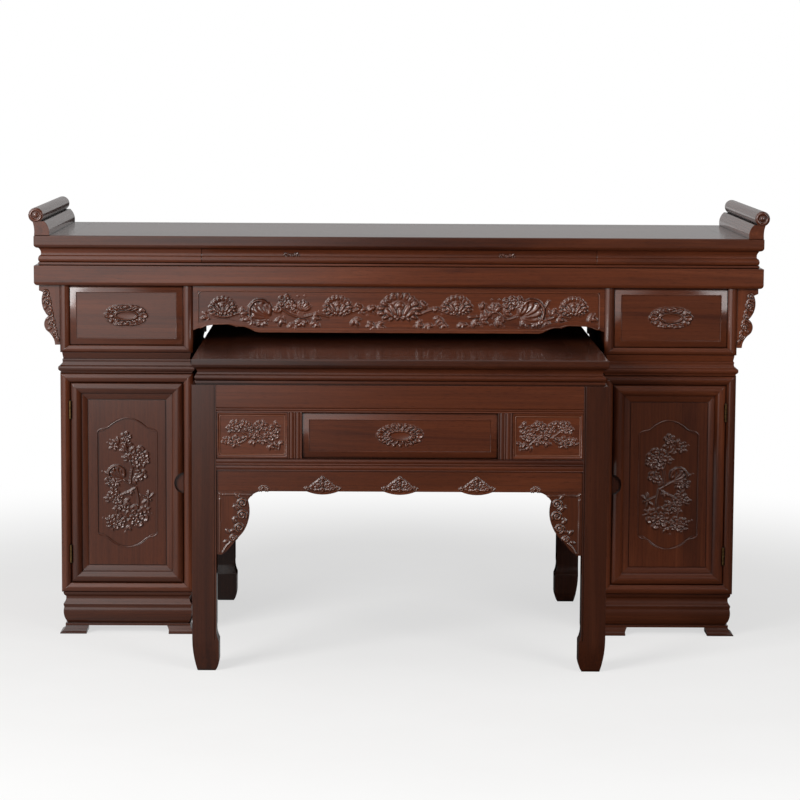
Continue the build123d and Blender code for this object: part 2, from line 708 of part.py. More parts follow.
def feet():
    """Four bracket feet that flare at the pedestal's corners."""
    end = FOOT_L - FOOT_FLARE
    face = outline(
        (FOOT_NECK, FOOT_H),
        cove((-FOOT_FLARE, 3), 3),
        (-FOOT_FLARE, 0),
        (end, 0),
        (end, 9),
        (end + 5, FOOT_H),
    )
    along_x = extrude(Plane.XZ * face, amount=FOOT_L + 20, both=True)
    along_y = extrude(Plane.YZ * face, amount=FOOT_L + 20, both=True)
    corner = along_x & along_y
    pieces = []
    for sx, x in ((1, PEDESTAL_IN), (-1, PEDESTAL_OUT)):
        for sy, y in ((1, PEDESTAL_Y), (-1, PEDESTAL_BACK)):
            foot = corner if sx > 0 else mirror(corner, about=Plane.YZ)
            foot = foot if sy > 0 else mirror(foot, about=Plane.XZ)
            pieces.append(Pos(x, y, 0) * foot)
    return pieces


# ---------------------------------------------------------------- doors, right side
def hinge_half(side, knuckle):
    """Leaf and knuckle of each lift-off hinge; side is 1 on the stile, -1 on the door."""
    inner = HINGE_X + side * DOOR_GAP / 2
    x = (inner, inner + side * LEAF_T)
    pieces = []
    for z in HINGE_Z:
        leaf_y = (HINGE_Y + BARREL_NOTCH, HINGE_Y + LEAF_L)
        leaf = board(x, leaf_y, (z - HINGE_H / 2, z + HINGE_H / 2))
        low, high = knuckle
        tab = board(x, (HINGE_Y, HINGE_Y + BARREL_NOTCH), (z + low, z + high))
        section = RegularPolygon(KNUCKLE_R, KNUCKLE_SIDE_COUNT)
        barrel = Pos(HINGE_X, HINGE_Y, z + low) * extrude(section, amount=high - low)
        pieces.append(leaf + tab + barrel)
    return pieces


def hinge_pins(radius, top):
    """A rod up the middle of each hinge, from inside its lower knuckle."""
    low = -HINGE_H / 4
    rods = []
    for z in HINGE_Z:
        rods.append(Pos(HINGE_X, HINGE_Y, z + (low + top) / 2) * Cylinder(radius, top - low))
    return rods


def stile_hinges():
    """Lower halves, each with the pin that the door's half turns on."""
    halves = hinge_half(1, (-HINGE_H / 2, -KNUCKLE_GAP / 2))
    pins = hinge_pins(PIN_R, HINGE_H / 2 - PIN_END)
    return [half + pin for half, pin in zip(halves, pins)]


def door_hinges():
    """Upper halves, bored to drop over the pins."""
    halves = hinge_half(-1, (KNUCKLE_GAP / 2, HINGE_H / 2))
    bores = hinge_pins(PIN_R + PIN_PLAY, HINGE_H)
    return [half - bore for half, bore in zip(halves, bores)]


def door_frame():
    """Mitred door frame: rounded outside, beaded inside, rebated for the panel."""
    edge = DOOR_T - DOOR_RISE
    lip = DOOR_PANEL_T + 1.5
    face = outline(
        (0, edge),
        (0, 0),
        (DOOR_REBATE, 0),
        (DOOR_REBATE, DOOR_PANEL_T),
        (DOOR_LIP, DOOR_PANEL_T),
        (DOOR_LIP, lip),
        (DOOR_LIP - 5, edge - 3),
        (DOOR_ROUND_W + 2, edge - 2),
        (DOOR_ROUND_W, edge - 2),
        (DOOR_ROUND_W, edge),
        swell((0, edge), DOOR_RISE),
    )
    plane = front_plane(DOOR_MID[0], PEDESTAL_Y + DOOR_T, DOOR_MID[1])
    members = [plane * member for member in mitred(DOOR_W, DOOR_H, face)]
    for cut in hinge_cuts():
        members[1] = members[1] - cut
    notch = extrude(Ellipse(FINGER_PULL_W, FINGER_PULL_H / 2), amount=DOOR_T)
    floor = front_plane(DOOR_IN, PEDESTAL_Y + DOOR_T - DOOR_PANEL_T, DOOR_MID[1] + FINGER_PULL_RISE)
    members[3] = members[3] - floor * notch
    return members


def cartouche_outline():
    """Tall field with shoulders and a low arch at both ends, centred on 0."""
    w = CARTOUCHE_W / 2
    side = CARTOUCHE_H / 2 - CARTOUCHE_ARCH_H - CARTOUCHE_SHOULDER_H
    arch = CARTOUCHE_H / 2 - CARTOUCHE_ARCH_H
    x = w - CARTOUCHE_SHOULDER_W
    return outline(
        (-w, side),
        (-w, -side),
        cove((-x, -arch), 5),
        swell((x, -arch), CARTOUCHE_ARCH_H),
        cove((w, -side), 5),
        (w, side),
        cove((x, arch), 5),
        swell((-x, arch), CARTOUCHE_ARCH_H),
        cove((-w, side), 5),
    )


def door_panel():
    """Panel with a raised field and a sunk cartouche."""
    plate = Pos(0, 0, DOOR_PANEL_T / 2) * Box(
        DOOR_W - 2 * DOOR_REBATE, DOOR_H - 2 * DOOR_REBATE, DOOR_PANEL_T)
    field = Pos(0, 0, DOOR_PANEL_T + DOOR_FIELD_T / 2) * Box(
        DOOR_W - 2 * DOOR_FIELD, DOOR_H - 2 * DOOR_FIELD, DOOR_FIELD_T)
    top = DOOR_PANEL_T + DOOR_FIELD_T
    sink = extrude(Plane.XY.offset(top - CARTOUCHE_SINK) * cartouche_outline(), amount=DOOR_FIELD_T)
    panel = plate + field - sink
    return front_plane(DOOR_MID[0], PEDESTAL_Y + DOOR_T, DOOR_MID[1]) * panel


# ---------------------------------------------------------------- drawers
def case_drawer():
    """Front, box and pull of the upper drawer on the right."""
    low = BAND_TOP + CASE_RAIL + FRONT_GAP
    high = CASE_TOP - FRONT_GAP
    back = PEDESTAL_Y + FRONT_SETBACK + FRONT_T
    plane = front_plane(DOOR_MID[0], back, (low + high) / 2)
    front = plane * pillow_front(DOOR_W, high - low)
    x = (DOOR_IN + BOX_SIDE_GAP, DOOR_OUT - BOX_SIDE_GAP)
    floor = BAND_TOP + CASE_RAIL + RUNNER_CLEARANCE
    box = drawer_box(x, back, CASE_DRAWER_L, floor, CASE_DRAWER_SIDE_H, BOX_BOTTOM_T, BOX_BOTTOM_RISE)
    face = front_plane(DOOR_MID[0], back - FRONT_T + FIELD_SINK, (low + high) / 2)
    return front, box, face * oval_pull()


def long_drawer_box():
    half = LONG_DRAWER_W / 2 - BOX_SIDE_GAP
    back = ALTAR_Y + WAIST_INSET + WAIST_T
    return drawer_box((-half, half), back, LONG_DRAWER_L, WAIST_BOTTOM,
                      LONG_DRAWER_SIDE_H, LONG_DRAWER_BOTTOM_T, LONG_DRAWER_BOTTOM_T)


def long_drawer_pulls(front):
    """Two small escutcheons, shaped behind to the hollow of the drawer's front."""
    level = (WAIST_BOTTOM + SLAB_BOTTOM) / 2
    depth = WAIST_INSET + WAIST_LEDGE + COVE_DEPTH
    pieces = []
    for x in (-SMALL_PULL_X, SMALL_PULL_X):
        plane = front_plane(x, ALTAR_Y + depth, level)
        thickness = depth - WAIST_INSET + SMALL_PULL_T
        plate = lobed_plate(SMALL_PULL_W, SMALL_PULL_H, thickness, SMALL_PULL_LOBES)
        pieces.append(plane * plate - front)
    return pieces


def table_drawer():
    """Front, box and pull of the offering table's drawer."""
    half = TABLE_DRAWER_W / 2 - FRONT_GAP
    levels = (ROW_BOTTOM + FRONT_GAP, ROW_TOP - FRONT_GAP)
    back = TABLE_Y + LEG_INSET + FRONT_SETBACK + FRONT_T
    plane = front_plane(0, back, sum(levels) / 2)
    front = plane * pillow_front(2 * half, levels[1] - levels[0])
    x = (BOX_SIDE_GAP - half, half - BOX_SIDE_GAP)
    box = drawer_box(x, back, TABLE_DRAWER_L, ROW_BOTTOM + RUNNER_CLEARANCE,
                     TABLE_DRAWER_SIDE_H, BOX_BOTTOM_T, BOX_BOTTOM_RISE)
    face = front_plane(0, back - FRONT_T + FIELD_SINK, sum(levels) / 2)
    return front, box, face * oval_pull()


# ---------------------------------------------------------------- offering table
def on_side(turn, piece):
    """Place a piece drawn on the front onto one of the four sides.

    It is drawn with X along the side from its middle and Y inward from the slab face.
    """
    reach = TABLE_DEPTH / 2 if turn % 2 == 0 else TABLE_WIDTH / 2
    return Pos(0, TABLE_MID_Y, 0) * Rot(0, 0, 90 * turn) * Pos(0, -reach, 0) * piece


def bay_half(turn):
    """Half the clear distance between the legs on one side."""
    width = TABLE_WIDTH if turn % 2 == 0 else TABLE_DEPTH
    return width / 2 - LEG_INSET - LEG_W


def table_top_frame():
    face = slab_face(TABLE_WAIST_TOP, TABLE_TOP, TABLE_TOP_MEMBER, TABLE_PANEL_T)
    return ring(TABLE_MID_Y, TABLE_WIDTH, TABLE_DEPTH, face)


def table_top_panel():
    x = TABLE_HALF - TABLE_TOP_MEMBER
    y = TABLE_DEPTH / 2 - TABLE_TOP_MEMBER
    levels = (TABLE_TOP - TABLE_PANEL_T, TABLE_TOP)
    return board((-x, x), (TABLE_MID_Y - y, TABLE_MID_Y + y), levels)


def table_waist():
    """Moulded neck between the slab and the legs, ending in a square fillet."""
    drop = 0.75 * TABLE_WAIST_H
    inset = TABLE_WAIST_INSET
    bead_top = TABLE_WAIST_TOP - drop
    back = inset + RAIL_T
    face = outline(
        *waist_steps(TABLE_WAIST_TOP, drop, inset),
        (inset + 1, bead_top - 1),
        (inset + 1, bead_top - 7),
        (inset + 3, bead_top - 8),
        (inset + 3, TABLE_LEG_H),
        (back, TABLE_LEG_H),
        (back, TABLE_WAIST_TOP),
    )
    return ring(TABLE_MID_Y, TABLE_WIDTH, TABLE_DEPTH, face)


def table_legs():
    """Square legs with an incised edge line and hoof feet that swell inward."""
    face = outline(
        (0, TABLE_LEG_H),
        (0, 0.7 * HOOF_H),
        swell((HOOF_TUCK, 0), 3),
        (LEG_W - 3, 0),
        swell((LEG_W + HOOF_SWELL, 0.28 * HOOF_H), 3),
        (LEG_W + HOOF_SWELL, 0.66 * HOOF_H),
        cove((LEG_W, HOOF_H), 3),
        (LEG_W, TABLE_LEG_H),
    )
    reach = LEG_W + 2 * HOOF_SWELL
    along_x = extrude(Plane.XZ * face, amount=reach, both=True)
    along_y = extrude(Plane.YZ * face, amount=reach, both=True)
    corner = along_x & along_y
    line = LEG_W - EDGE_LINE_INSET
    levels = (0.7 * HOOF_H, TABLE_LEG_H)
    corner -= board((line, line + EDGE_LINE_W), (-EDGE_LINE_W, EDGE_LINE_W), levels)
    corner -= board((-EDGE_LINE_W, EDGE_LINE_W), (line, line + EDGE_LINE_W), levels)
    x = TABLE_HALF - LEG_INSET
    y = TABLE_DEPTH / 2 - LEG_INSET
    pieces = []
    for turned_x in (False, True):
        for turned_y in (False, True):
            leg = mirror(corner, about=Plane.YZ) if turned_x else corner
            leg = mirror(leg, about=Plane.XZ) if turned_y else leg
            place = (x if turned_x else -x, TABLE_MID_Y + (y if turned_y else -y), 0)
            pieces.append(Pos(*place) * leg)
    return pieces


def table_rails():
    """Upper and lower rails on four sides, and the two posts beside the drawer."""
    upper = outline(
        (0, UPPER_RAIL_H),
        *bead_steps(0, QUIRK + BEAD_W / 2, BEAD_W - 4),
        (0, 0),
        (RAIL_T, 0),
        (RAIL_T, UPPER_RAIL_H),
    )
    lower = double_bead_face(LOWER_RAIL_H, RAIL_T)
    pieces = []
    for turn in range(4):
        half = bay_half(turn)
        pieces.append(on_side(turn, Pos(0, 0, ROW_TOP) * bar(upper, half, LEG_INSET)))
        pieces.append(on_side(turn, Pos(0, 0, APRON_TOP) * bar(lower, half, LEG_INSET)))
    post_face = double_bead_face(POST_W, RAIL_T)
    for x in (-TABLE_DRAWER_W / 2, TABLE_DRAWER_W / 2 + POST_W):
        plane = Plane(origin=(x, TABLE_Y + LEG_INSET, ROW_BOTTOM), x_dir=(0, 1, 0), z_dir=(0, 0, 1))
        pieces.append(extrude(plane * post_face, amount=DRAWER_ROW_H))
    return pieces


def row_panel(width):
    """One panel of the drawer row, drawn on the front's middle."""
    plane = front_plane(0, LEG_INSET + PANEL_RECESS + PANEL_ROW_T, (ROW_TOP + ROW_BOTTOM) / 2)
    return plane * sunk_panel(width, DRAWER_ROW_H)


def table_front_panels():
    inner = TABLE_DRAWER_W / 2 + POST_W
    outer = bay_half(0)
    pieces = []
    for side in (-1, 1):
        pieces.append(Pos(side * (inner + outer) / 2, TABLE_Y, 0) * row_panel(outer - inner))
    return pieces


def table_side_panels():
    return [on_side(turn, row_panel(2 * bay_half(turn))) for turn in (1, 2, 3)]


def table_aprons():
    pieces = []
    for turn in range(4):
        half = bay_half(turn)
        edge = []
        for x in (-APRON_MEDALLION_X, 0, APRON_MEDALLION_X):
            edge.append((x - MEDALLION_HALF_W, APRON_BOTTOM))
            edge.append(swell((x + MEDALLION_HALF_W, APRON_BOTTOM), MEDALLION_DROP))
        top = [(half, APRON_BOTTOM), (half, APRON_TOP), (-half, APRON_TOP)]
        face = outline((-half, APRON_BOTTOM), *edge, *top)
        plane = front_plane(0, LEG_INSET + APRON_SETBACK + APRON_T, 0)
        pieces.append(on_side(turn, extrude(plane * face, amount=APRON_T)))
    return pieces


def table_spandrels():
    """Scroll-edged brackets between each leg and apron, two on each side."""
    w = TABLE_SPANDREL_W
    h = TABLE_SPANDREL_H
    face = outline(
        (0, 0),
        (0, -h),
        (0.13 * w, -h),
        (0.25 * w, -0.93 * h),
        (0.42 * w, -0.79 * h),
        (0.59 * w, -0.66 * h),
        swell((0.71 * w, -0.15 * h), 10),
        cove((w, 0), 5),
    )
    left = extrude(front_plane(0, LEG_INSET + APRON_SETBACK + APRON_T, 0) * face, amount=APRON_T)
    right = mirror(left, about=Plane.YZ)
    pieces = []
    for turn in range(4):
        half = bay_half(turn)
        pieces.append(on_side(turn, Pos(-half, 0, APRON_BOTTOM) * left))
        pieces.append(on_side(turn, Pos(half, 0, APRON_BOTTOM) * right))
    return pieces


def table_runners():
    """Runners from the front rail to the back one, with a guide on each."""
    y = (TABLE_Y + LEG_INSET + RAIL_T, TABLE_Y + TABLE_DEPTH - LEG_INSET - RAIL_T)
    top = ROW_BOTTOM + RUNNER_CLEARANCE
    guide_x = TABLE_DRAWER_W / 2 - FRONT_GAP - BOX_SIDE_GAP + GUIDE_GAP
    outer_x = guide_x + BOX_SIDE_T
    pieces = []
    for side in (-1, 1):
        base = (side * (outer_x - RUNNER_W), side * outer_x)
        pieces.append(board(base, y, (top - LOWER_RAIL_H / 2, top)))
        pieces.append(board((side * guide_x, side * outer_x), y, (top, top + GUIDE_H)))
    return pieces


# ---------------------------------------------------------------- write the nodes
def main():
    os.makedirs("parts", exist_ok=True)

    save("altar_top_frame", *altar_top_frame())
    save("altar_top_panel", altar_top_panel())
    save_pair("scroll_end", scroll_end())
    waist_members = waist_ring()
    save("altar_waist", *altar_waist(waist_members))
    save("altar_fascia", *altar_fascia())
    save("long_drawer_runners", *long_drawer_runners())
    save("frieze", frieze())
    save("back_rail", back_rail())
    save_pair("spandrels", *spandrels())
    save_pair("case_frame", *case_frame())
    save_pair("case_panels", *case_panels())
    save_pair("case_runners", *case_runners())
    save_pair("band", *band())
    save_pair("cabinet_frame", *cabinet_frame())
    save_pair("cabinet_panels", *cabinet_panels())
    save_pair("shelf", shelf())
    save_pair("plinth", *plinth())
    save_pair("feet", *feet())
    save_pair("stile_hinges", *stile_hinges())

    save_pair("door_frame", *door_frame())
    save_pair("door_panel", door_panel())
    save_pair("door_hinges", *door_hinges())

    front, box, pull = case_drawer()
    save_pair("drawer_front", front)
    save_pair("drawer_box", *box)
    save_pair("drawer_pull", pull)
    front = long_drawer_front(waist_members)
    save("long_drawer_front", front)
    save("long_drawer_box", *long_drawer_box())
    save("long_drawer_pulls", *long_drawer_pulls(front))

    save("table_top_frame", *table_top_frame())
    save("table_top_panel", table_top_panel())
    save("table_waist", *table_waist())
    save("table_legs", *table_legs())
    save("table_rails", *table_rails())
    save("table_front_panels", *table_front_panels())
    save("table_side_panels", *table_side_panels())
    save("table_aprons", *table_aprons())
    save("table_spandrels", *table_spandrels())
    save("table_runners", *table_runners())
    front, box, pull = table_drawer()
    save("table_drawer_front", front)
    save("table_drawer_box", *box)
    save("table_drawer_pull", pull)


main()
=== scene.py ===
import json
import math
import zlib

import bmesh
import bpy
import numpy as np
from mathutils import Matrix, Vector


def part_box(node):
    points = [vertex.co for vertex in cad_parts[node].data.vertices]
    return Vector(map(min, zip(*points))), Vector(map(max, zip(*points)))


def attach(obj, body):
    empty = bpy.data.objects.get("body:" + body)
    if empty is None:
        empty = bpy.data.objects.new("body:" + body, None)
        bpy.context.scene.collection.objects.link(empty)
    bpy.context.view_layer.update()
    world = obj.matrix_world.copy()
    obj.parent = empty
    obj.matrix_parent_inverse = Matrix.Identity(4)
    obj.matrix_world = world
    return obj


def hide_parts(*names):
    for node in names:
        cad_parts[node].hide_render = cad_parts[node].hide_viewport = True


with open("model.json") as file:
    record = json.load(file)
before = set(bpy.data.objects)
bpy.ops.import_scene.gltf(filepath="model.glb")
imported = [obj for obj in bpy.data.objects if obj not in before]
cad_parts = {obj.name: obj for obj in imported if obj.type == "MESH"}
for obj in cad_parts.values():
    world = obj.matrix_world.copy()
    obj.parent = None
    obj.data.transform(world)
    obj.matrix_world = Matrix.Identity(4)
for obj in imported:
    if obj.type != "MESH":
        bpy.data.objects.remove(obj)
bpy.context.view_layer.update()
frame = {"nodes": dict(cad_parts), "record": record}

bl_info = {
    "name": "Altar Table Set",
    "version": (1, 0, 0),
    "blender": (4, 5, 0),
    "location": "View3D > Sidebar > Altar Table",
    "description": "Dresses an altar table and its offering table in carved, lacquered rosewood",
    "category": "Object",
}

MM = 0.001
SIDES = ((-1, "left"), (1, "right"))
# hinge screws: how far from the leaf's edge, and how far from one another
SCREW_INSET, SCREW_PITCH = 7 * MM, 16 * MM
SLOT_OF = {row["node"]: row["material_slot"] for row in frame["record"]["subparts"]}
BODY_OF = {n: body for body, nodes in frame["record"]["behaviour"]["bodies"].items() for n in nodes}
WELD = 0.01 * MM
# angles between faces, in degrees: up to the first they are one face, past the second their edge
# is eased, past the third it is shaded sharp
ONE_FACE, EASED_EDGE, SHARP_EDGE = 1, 32, 42
# painted light and shade: each member coloured darker or lighter, against the common 1, for the light that falls
# on it; the legs, plinth and feet low down are darkest
PAINTED_SHADES = {
    "altar_top_frame": 0.82, "altar_fascia": 1.25, "frieze": 1.3, "altar_waist": 1.0, "long_drawer_front": 1.0,
    "table_legs": 0.42, "table_top": 0.5, "table_waist": 0.75, "table_rails": 0.86, "table_aprons": 0.85,
    "table_spandrels": 0.72, "left_drawer": 0.86, "left_door": 0.8, "right_door": 1.15, "left_band": 0.58,
    "plinth": 0.62, "feet": 0.6,
}


# ---------------------------------------------------------------- small tools
def linear(code):
    """An sRGB hex colour as the linear values that Blender's sockets take."""
    parts = [int(code[i:i + 2], 16) / 255 for i in (1, 3, 5)]
    return [c / 12.92 if c <= 0.04045 else ((c + 0.055) / 1.055) ** 2.4 for c in parts]


def rgba(colour):
    """A colour with full alpha, from a hex code or from a colour property."""
    return (*(linear(colour) if isinstance(colour, str) else colour), 1.0)


def add(tree, kind, sockets=None, stops=None, **settings):
    """Adds one node. sockets gives an input, by name or place, its value, or the output that feeds
    it, or the node whose first output does."""
    node = tree.nodes.new(kind)
    for name, value in settings.items():
        setattr(node, name, value)
    for key, value in (sockets or {}).items():
        if isinstance(value, bpy.types.Node):
            value = value.outputs[0]
        if isinstance(value, bpy.types.NodeSocket):
            tree.links.new(value, node.inputs[key])
        else:
            node.inputs[key].default_value = value
    if stops:
        ramp = node.color_ramp.elements
        while len(ramp) < len(stops):
            ramp.new(0.5)
        for stop, (place, colour) in zip(ramp, stops):
            stop.position = place
            stop.color = colour
    return node


def new_material(name):
    """An empty node material and its tree."""
    material = bpy.data.materials.new(name)
    material.use_nodes = True
    material.node_tree.nodes.clear()
    return material, material.node_tree


def linked(name, data):
    """An object of the scene that holds this data."""
    thing = bpy.data.objects.new(name, data)
    bpy.context.scene.collection.objects.link(thing)
    return thing


def mesh_object(name, points, faces, materials, edges=(), smooth=True):
    """A mesh object at the origin, with its place in its mesh."""
    mesh = bpy.data.meshes.new(name)
    mesh.from_pydata(points, edges, faces)
    for material in materials:
        mesh.materials.append(material)
    mesh.polygons.foreach_set("use_smooth", [smooth] * len(mesh.polygons))
    return linked(name, mesh)


def joined(parts, name):
    """Joins objects into the first one, under this name."""
    if len(parts) > 1:
        with bpy.context.temp_override(active_object=parts[0], selected_editable_objects=parts):
            bpy.ops.object.join()
    parts[0].name = name
    return parts[0]


def made_plain(thing):
    """Turns an object with modifiers into the plain mesh that they give."""
    bpy.context.view_layer.update()
    graph = bpy.context.evaluated_depsgraph_get()
    mesh = bpy.data.meshes.new_from_object(
        thing.evaluated_get(graph), preserve_all_data_layers=True, depsgraph=graph
    )
    thing.modifiers.clear()
    thing.data = mesh
    return thing


def store(mesh, name, kind, values):
    """Keeps one value for each point of a mesh, for its material to read."""
    layer = mesh.attributes.new(name, kind, "POINT")
    layer.data.foreach_set("vector" if kind == "FLOAT_VECTOR" else "value", np.ravel(values))


def middle(node):
    """Middle of a CAD node's box."""
    low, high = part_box(node)
    return (low + high) / 2


def settled(thing, node, replaces=True):
    """Seats a finished piece on the body of its CAD node, and hides that node where the piece replaces it."""
    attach(thing, BODY_OF[node])
    if replaces:
        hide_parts(node)
    return thing


# ---------------------------------------------------------------- sizes and colours
def colour_setting(label, use, code):
    """A colour in the panel, from its sRGB hex code."""
    return bpy.props.FloatVectorProperty(
        name=label, description=use, subtype="COLOR", size=3, min=0, max=1, default=linear(code))


def length_setting(label, use, low, high, length):
    """A length in the panel, in metres."""
    return bpy.props.FloatProperty(
        name=label, description=use, subtype="DISTANCE", unit="LENGTH", min=low, max=high, default=length)


def light_setting(label, use, high, strength, **kind):
    """A brightness in the panel, or a lamp's power in watts."""
    return bpy.props.FloatProperty(name=label, description=use, min=0, max=high, default=strength, **kind)


class RosewoodFinish(bpy.types.PropertyGroup):
    """Colour and gloss of the lacquered rosewood."""

    streak: colour_setting("Dark streak", "Darkest figure of the heartwood", "#3c1a0d")
    body: colour_setting("Heartwood", "Common colour of the stained wood", "#512613")
    pale: colour_setting("Pale figure", "Lightest figure between the streaks", "#63321c")
    # this colour is dark glaze and also the painted shade in corners, cuts and round the carved forms
    glaze_and_shade: colour_setting("Glaze", "Dark glaze that stays in the hollows and corners", "#0c0402")
    # this colour is rubbed wear and a painted highlight on the carving's crests
    rubbed_and_highlit: colour_setting("Rubbed crest", "Colour of the carving's rubbed high points", "#683c26")
    arris: length_setting("Arris", "Width of the eased edge on every board", 0.0001, 0.003, 0.0008)


class InnerWoodFinish(bpy.types.PropertyGroup):
    """Colour of the plain wood inside the drawers and cupboards."""

    early: colour_setting("Early wood", "Pale part of each growth ring", "#a98460")
    late: colour_setting("Late wood", "Dark line of each growth ring", "#7c5839")


class CarvingSizes(bpy.types.PropertyGroup):
    """Heights of the carved work."""

    frieze_rise: length_setting(
        "Frieze relief", "Height of the frieze's lotus flowers over their ground", 0.001, 0.009, 0.0062)
    door_rise: length_setting(
        "Door relief", "Height of the doors' flowers over their ground", 0.001, 0.009, 0.0050)
    panel_rise: length_setting(
        "Panel relief", "Height of the flowers on the table's small panels", 0.001, 0.008, 0.0046)
    bead_radius: length_setting(
        "Border bead", "Radius of the fine bead round each carved field", 0.0005, 0.004, 0.0018)


class HingeSizes(bpy.types.PropertyGroup):
    """Sizes and colour of the hinge fittings."""

    brass: colour_setting("Brass", "Colour of the aged brass", "#5e4a2c")
    arris: length_setting("Hinge arris", "Width of the eased edge on the leaves", 0.0001, 0.0006, 0.0003)
    screw_radius: length_setting("Screw head", "Radius of a countersunk screw head", 0.001, 0.004, 0.0024)
    screw_height: length_setting("Screw height", "Thickness of a screw head", 0.0002, 0.001, 0.0005)
    screw_slot: length_setting("Screw slot", "Width of a screw head's slot", 0.0003, 0.001, 0.0006)


class StudioSettings(bpy.types.PropertyGroup):
    """Light and surroundings."""

    key: light_setting("Key light", "Power of the large soft light, high on the left", 2000, 262, unit="POWER")
    fill: light_setting("Fill light", "Power of the soft light on the right", 2000, 125, unit="POWER")
    top: light_setting("Top light", "Power of the soft light overhead", 2000, 14, unit="POWER")
    surround: light_setting("Surroundings", "Strength of the even light from all round", 2, 0.22)
    lit_side: light_setting(
        "Lit side of the room", "How bright the polish mirrors the room on the left", 4, 3.0)
    dim_side: light_setting(
        "Dim side of the room", "How bright the polish mirrors the room on the right", 2, 0.05)
    backdrop: light_setting(
        "Mirrored backdrop", "How bright the polish mirrors the backdrop behind the set", 1, 0.49)
    floor: colour_setting("Floor", "Colour of the studio floor", "#e9e7e4")


# ---------------------------------------------------------------- finishes
def ranged(tree, value, start, end, low=0.0, high=1.0, **settings):
    """A value that goes from low to high while the one given goes from start to end."""
    return add(tree, "ShaderNodeMapRange", {
        "Value": value, "From Min": start, "From Max": end, "To Min": low, "To Max": high}, **settings)


def product(tree, first, second, kind="ShaderNodeMath"):
    """Two values, or with ShaderNodeVectorMath two colours, multiplied."""
    return add(tree, kind, {0: first, 1: second}, operation="MULTIPLY")


def blend(tree, share, first, second):
    """A mix of two colours, all of the second where share is 1."""
    return add(tree, "ShaderNodeMix", {0: share, 6: first, 7: second}, data_type="RGBA").outputs[2]


def figure(tree, place, per_metre, **sockets):
    """Noise with this many cells to the metre along each axis."""
    stretched = add(tree, "ShaderNodeMapping", {"Vector": place, "Scale": per_metre})
    return add(tree, "ShaderNodeTexNoise", {"Vector": stretched, "Scale": 1.0, **sockets})


def grain(tree):
    """The grain coordinates and the tone, with painted light and shade, that each board carries."""
    timber = add(tree, "ShaderNodeAttribute", attribute_name="timber").outputs["Vector"]
    return timber, add(tree, "ShaderNodeAttribute", attribute_name="tone_and_shade").outputs["Fac"]


def surfaced(tree, sockets):
    """Ends a material in its surface shader."""
    surface = add(tree, "ShaderNodeBsdfPrincipled", sockets)
    add(tree, "ShaderNodeOutputMaterial", {"Surface": surface})


def rosewood_layers(tree, wood):
    """Colour, roughness and height of quarter-sawn rosewood, along each board's own grain, with painted shade in
    its corners.
    """
    timber, tone_and_shade = grain(tree)
    # growth figure: streaks about 40 mm wide and 1 m long, bent by a slow wander of the grain
    bands = figure(tree, timber, (0.9, 15.0, 15.0), Detail=5.0, Roughness=0.55, Distortion=0.9)
    # vessel lines: 5 mm apart
    lines = figure(tree, timber, (3.5, 190.0, 190.0), Detail=3.0, Roughness=0.6)
    # open pores: real ones are 0.2 mm wide, drawn 1 mm wide and 20 mm long so that they show
    pores = figure(tree, timber, (48.0, 950.0, 950.0), Detail=1.0)
    figured = add(tree, "ShaderNodeValToRGB", {"Fac": bands}, stops=[
        (0.32, rgba(wood.streak)), (0.47, rgba(wood.body)), (0.56, rgba(wood.body)), (0.70, rgba(wood.pale))])
    pore = ranged(tree, pores, 0.60, 0.68, 1.0, 0.66)
    shaded = product(tree, ranged(tree, lines, 0.35, 0.62, 0.80, 1.06), pore)
    clean = product(tree, figured, product(tree, shaded, tone_and_shade), "ShaderNodeVectorMath")
    # painted shade, partly dark glaze and old wax: every corner and joint narrower than about 9 mm is darkened
    # towards the glaze colour
    open_air = add(tree, "ShaderNodeAmbientOcclusion", {"Distance": 0.009}, samples=6)
    painted_corner_shade = ranged(tree, open_air.outputs["AO"], 0.30, 0.82, 0.92, 0.0)
    # the lacquer sinks into the pores and lies in slow waves of about 30 mm, under 0.1 mm deep
    waves = add(tree, "ShaderNodeTexNoise", {"Vector": timber, "Scale": 34.0, "Detail": 1.0})
    sunk = add(tree, "ShaderNodeMath", {0: pore, 1: 0.10, 2: waves}, operation="MULTIPLY_ADD")
    bump = add(tree, "ShaderNodeBump", {"Strength": 0.18, "Distance": 0.0012, "Height": sunk})
    return {"Base Color": blend(tree, painted_corner_shade, clean, rgba(wood.glaze_and_shade)),
            "Roughness": ranged(tree, lines, 0.3, 0.7, 0.50, 0.36), "Normal": bump, "IOR": 1.5}


def lacquered_rosewood(wood):
    """Rosewood, planed, stained deep red brown and sprayed with semi-gloss lacquer. The eye gets
    dark streaks under a clear coat, soft wide reflections, and a bright line on each eased edge."""
    material, tree = new_material("Lacquered_rosewood")
    surfaced(tree, {
        **rosewood_layers(tree, wood),
        "Specular IOR Level": 0.08, "Coat Weight": 0.75, "Coat Roughness": 0.14, "Coat IOR": 1.5})
    return material


def carved_rosewood(wood):
    """The same rosewood where it is carved: glaze wiped on and rubbed off the high points, and with it
    painted shade that makes the cuts nearly black and a painted highlight that warms the crests; the lacquer pools
    to a higher gloss."""
    material, tree = new_material("Carved_rosewood")
    layers = rosewood_layers(tree, wood)
    relief = add(tree, "ShaderNodeAttribute", attribute_name="relief").outputs["Fac"]
    # painted shade: the hollows, cuts and ground round each form go towards the glaze colour, nearly black
    low = ranged(tree, relief, -0.65, -0.05, 0.95, 0.0)
    # painted highlight, partly rubbed wear: the crests go towards the rubbed colour
    high = ranged(tree, relief, 0.35, 1.0, 0.0, 0.7)
    crest_highlit = blend(tree, high, layers["Base Color"], rgba(wood.rubbed_and_highlit))
    surfaced(tree, {
        **layers, "Base Color": blend(tree, low, crest_highlit, rgba(wood.glaze_and_shade)),
        "Specular IOR Level": 0.12, "Coat Weight": 0.8, "Coat Roughness": 0.17, "Coat IOR": 1.5})
    return material


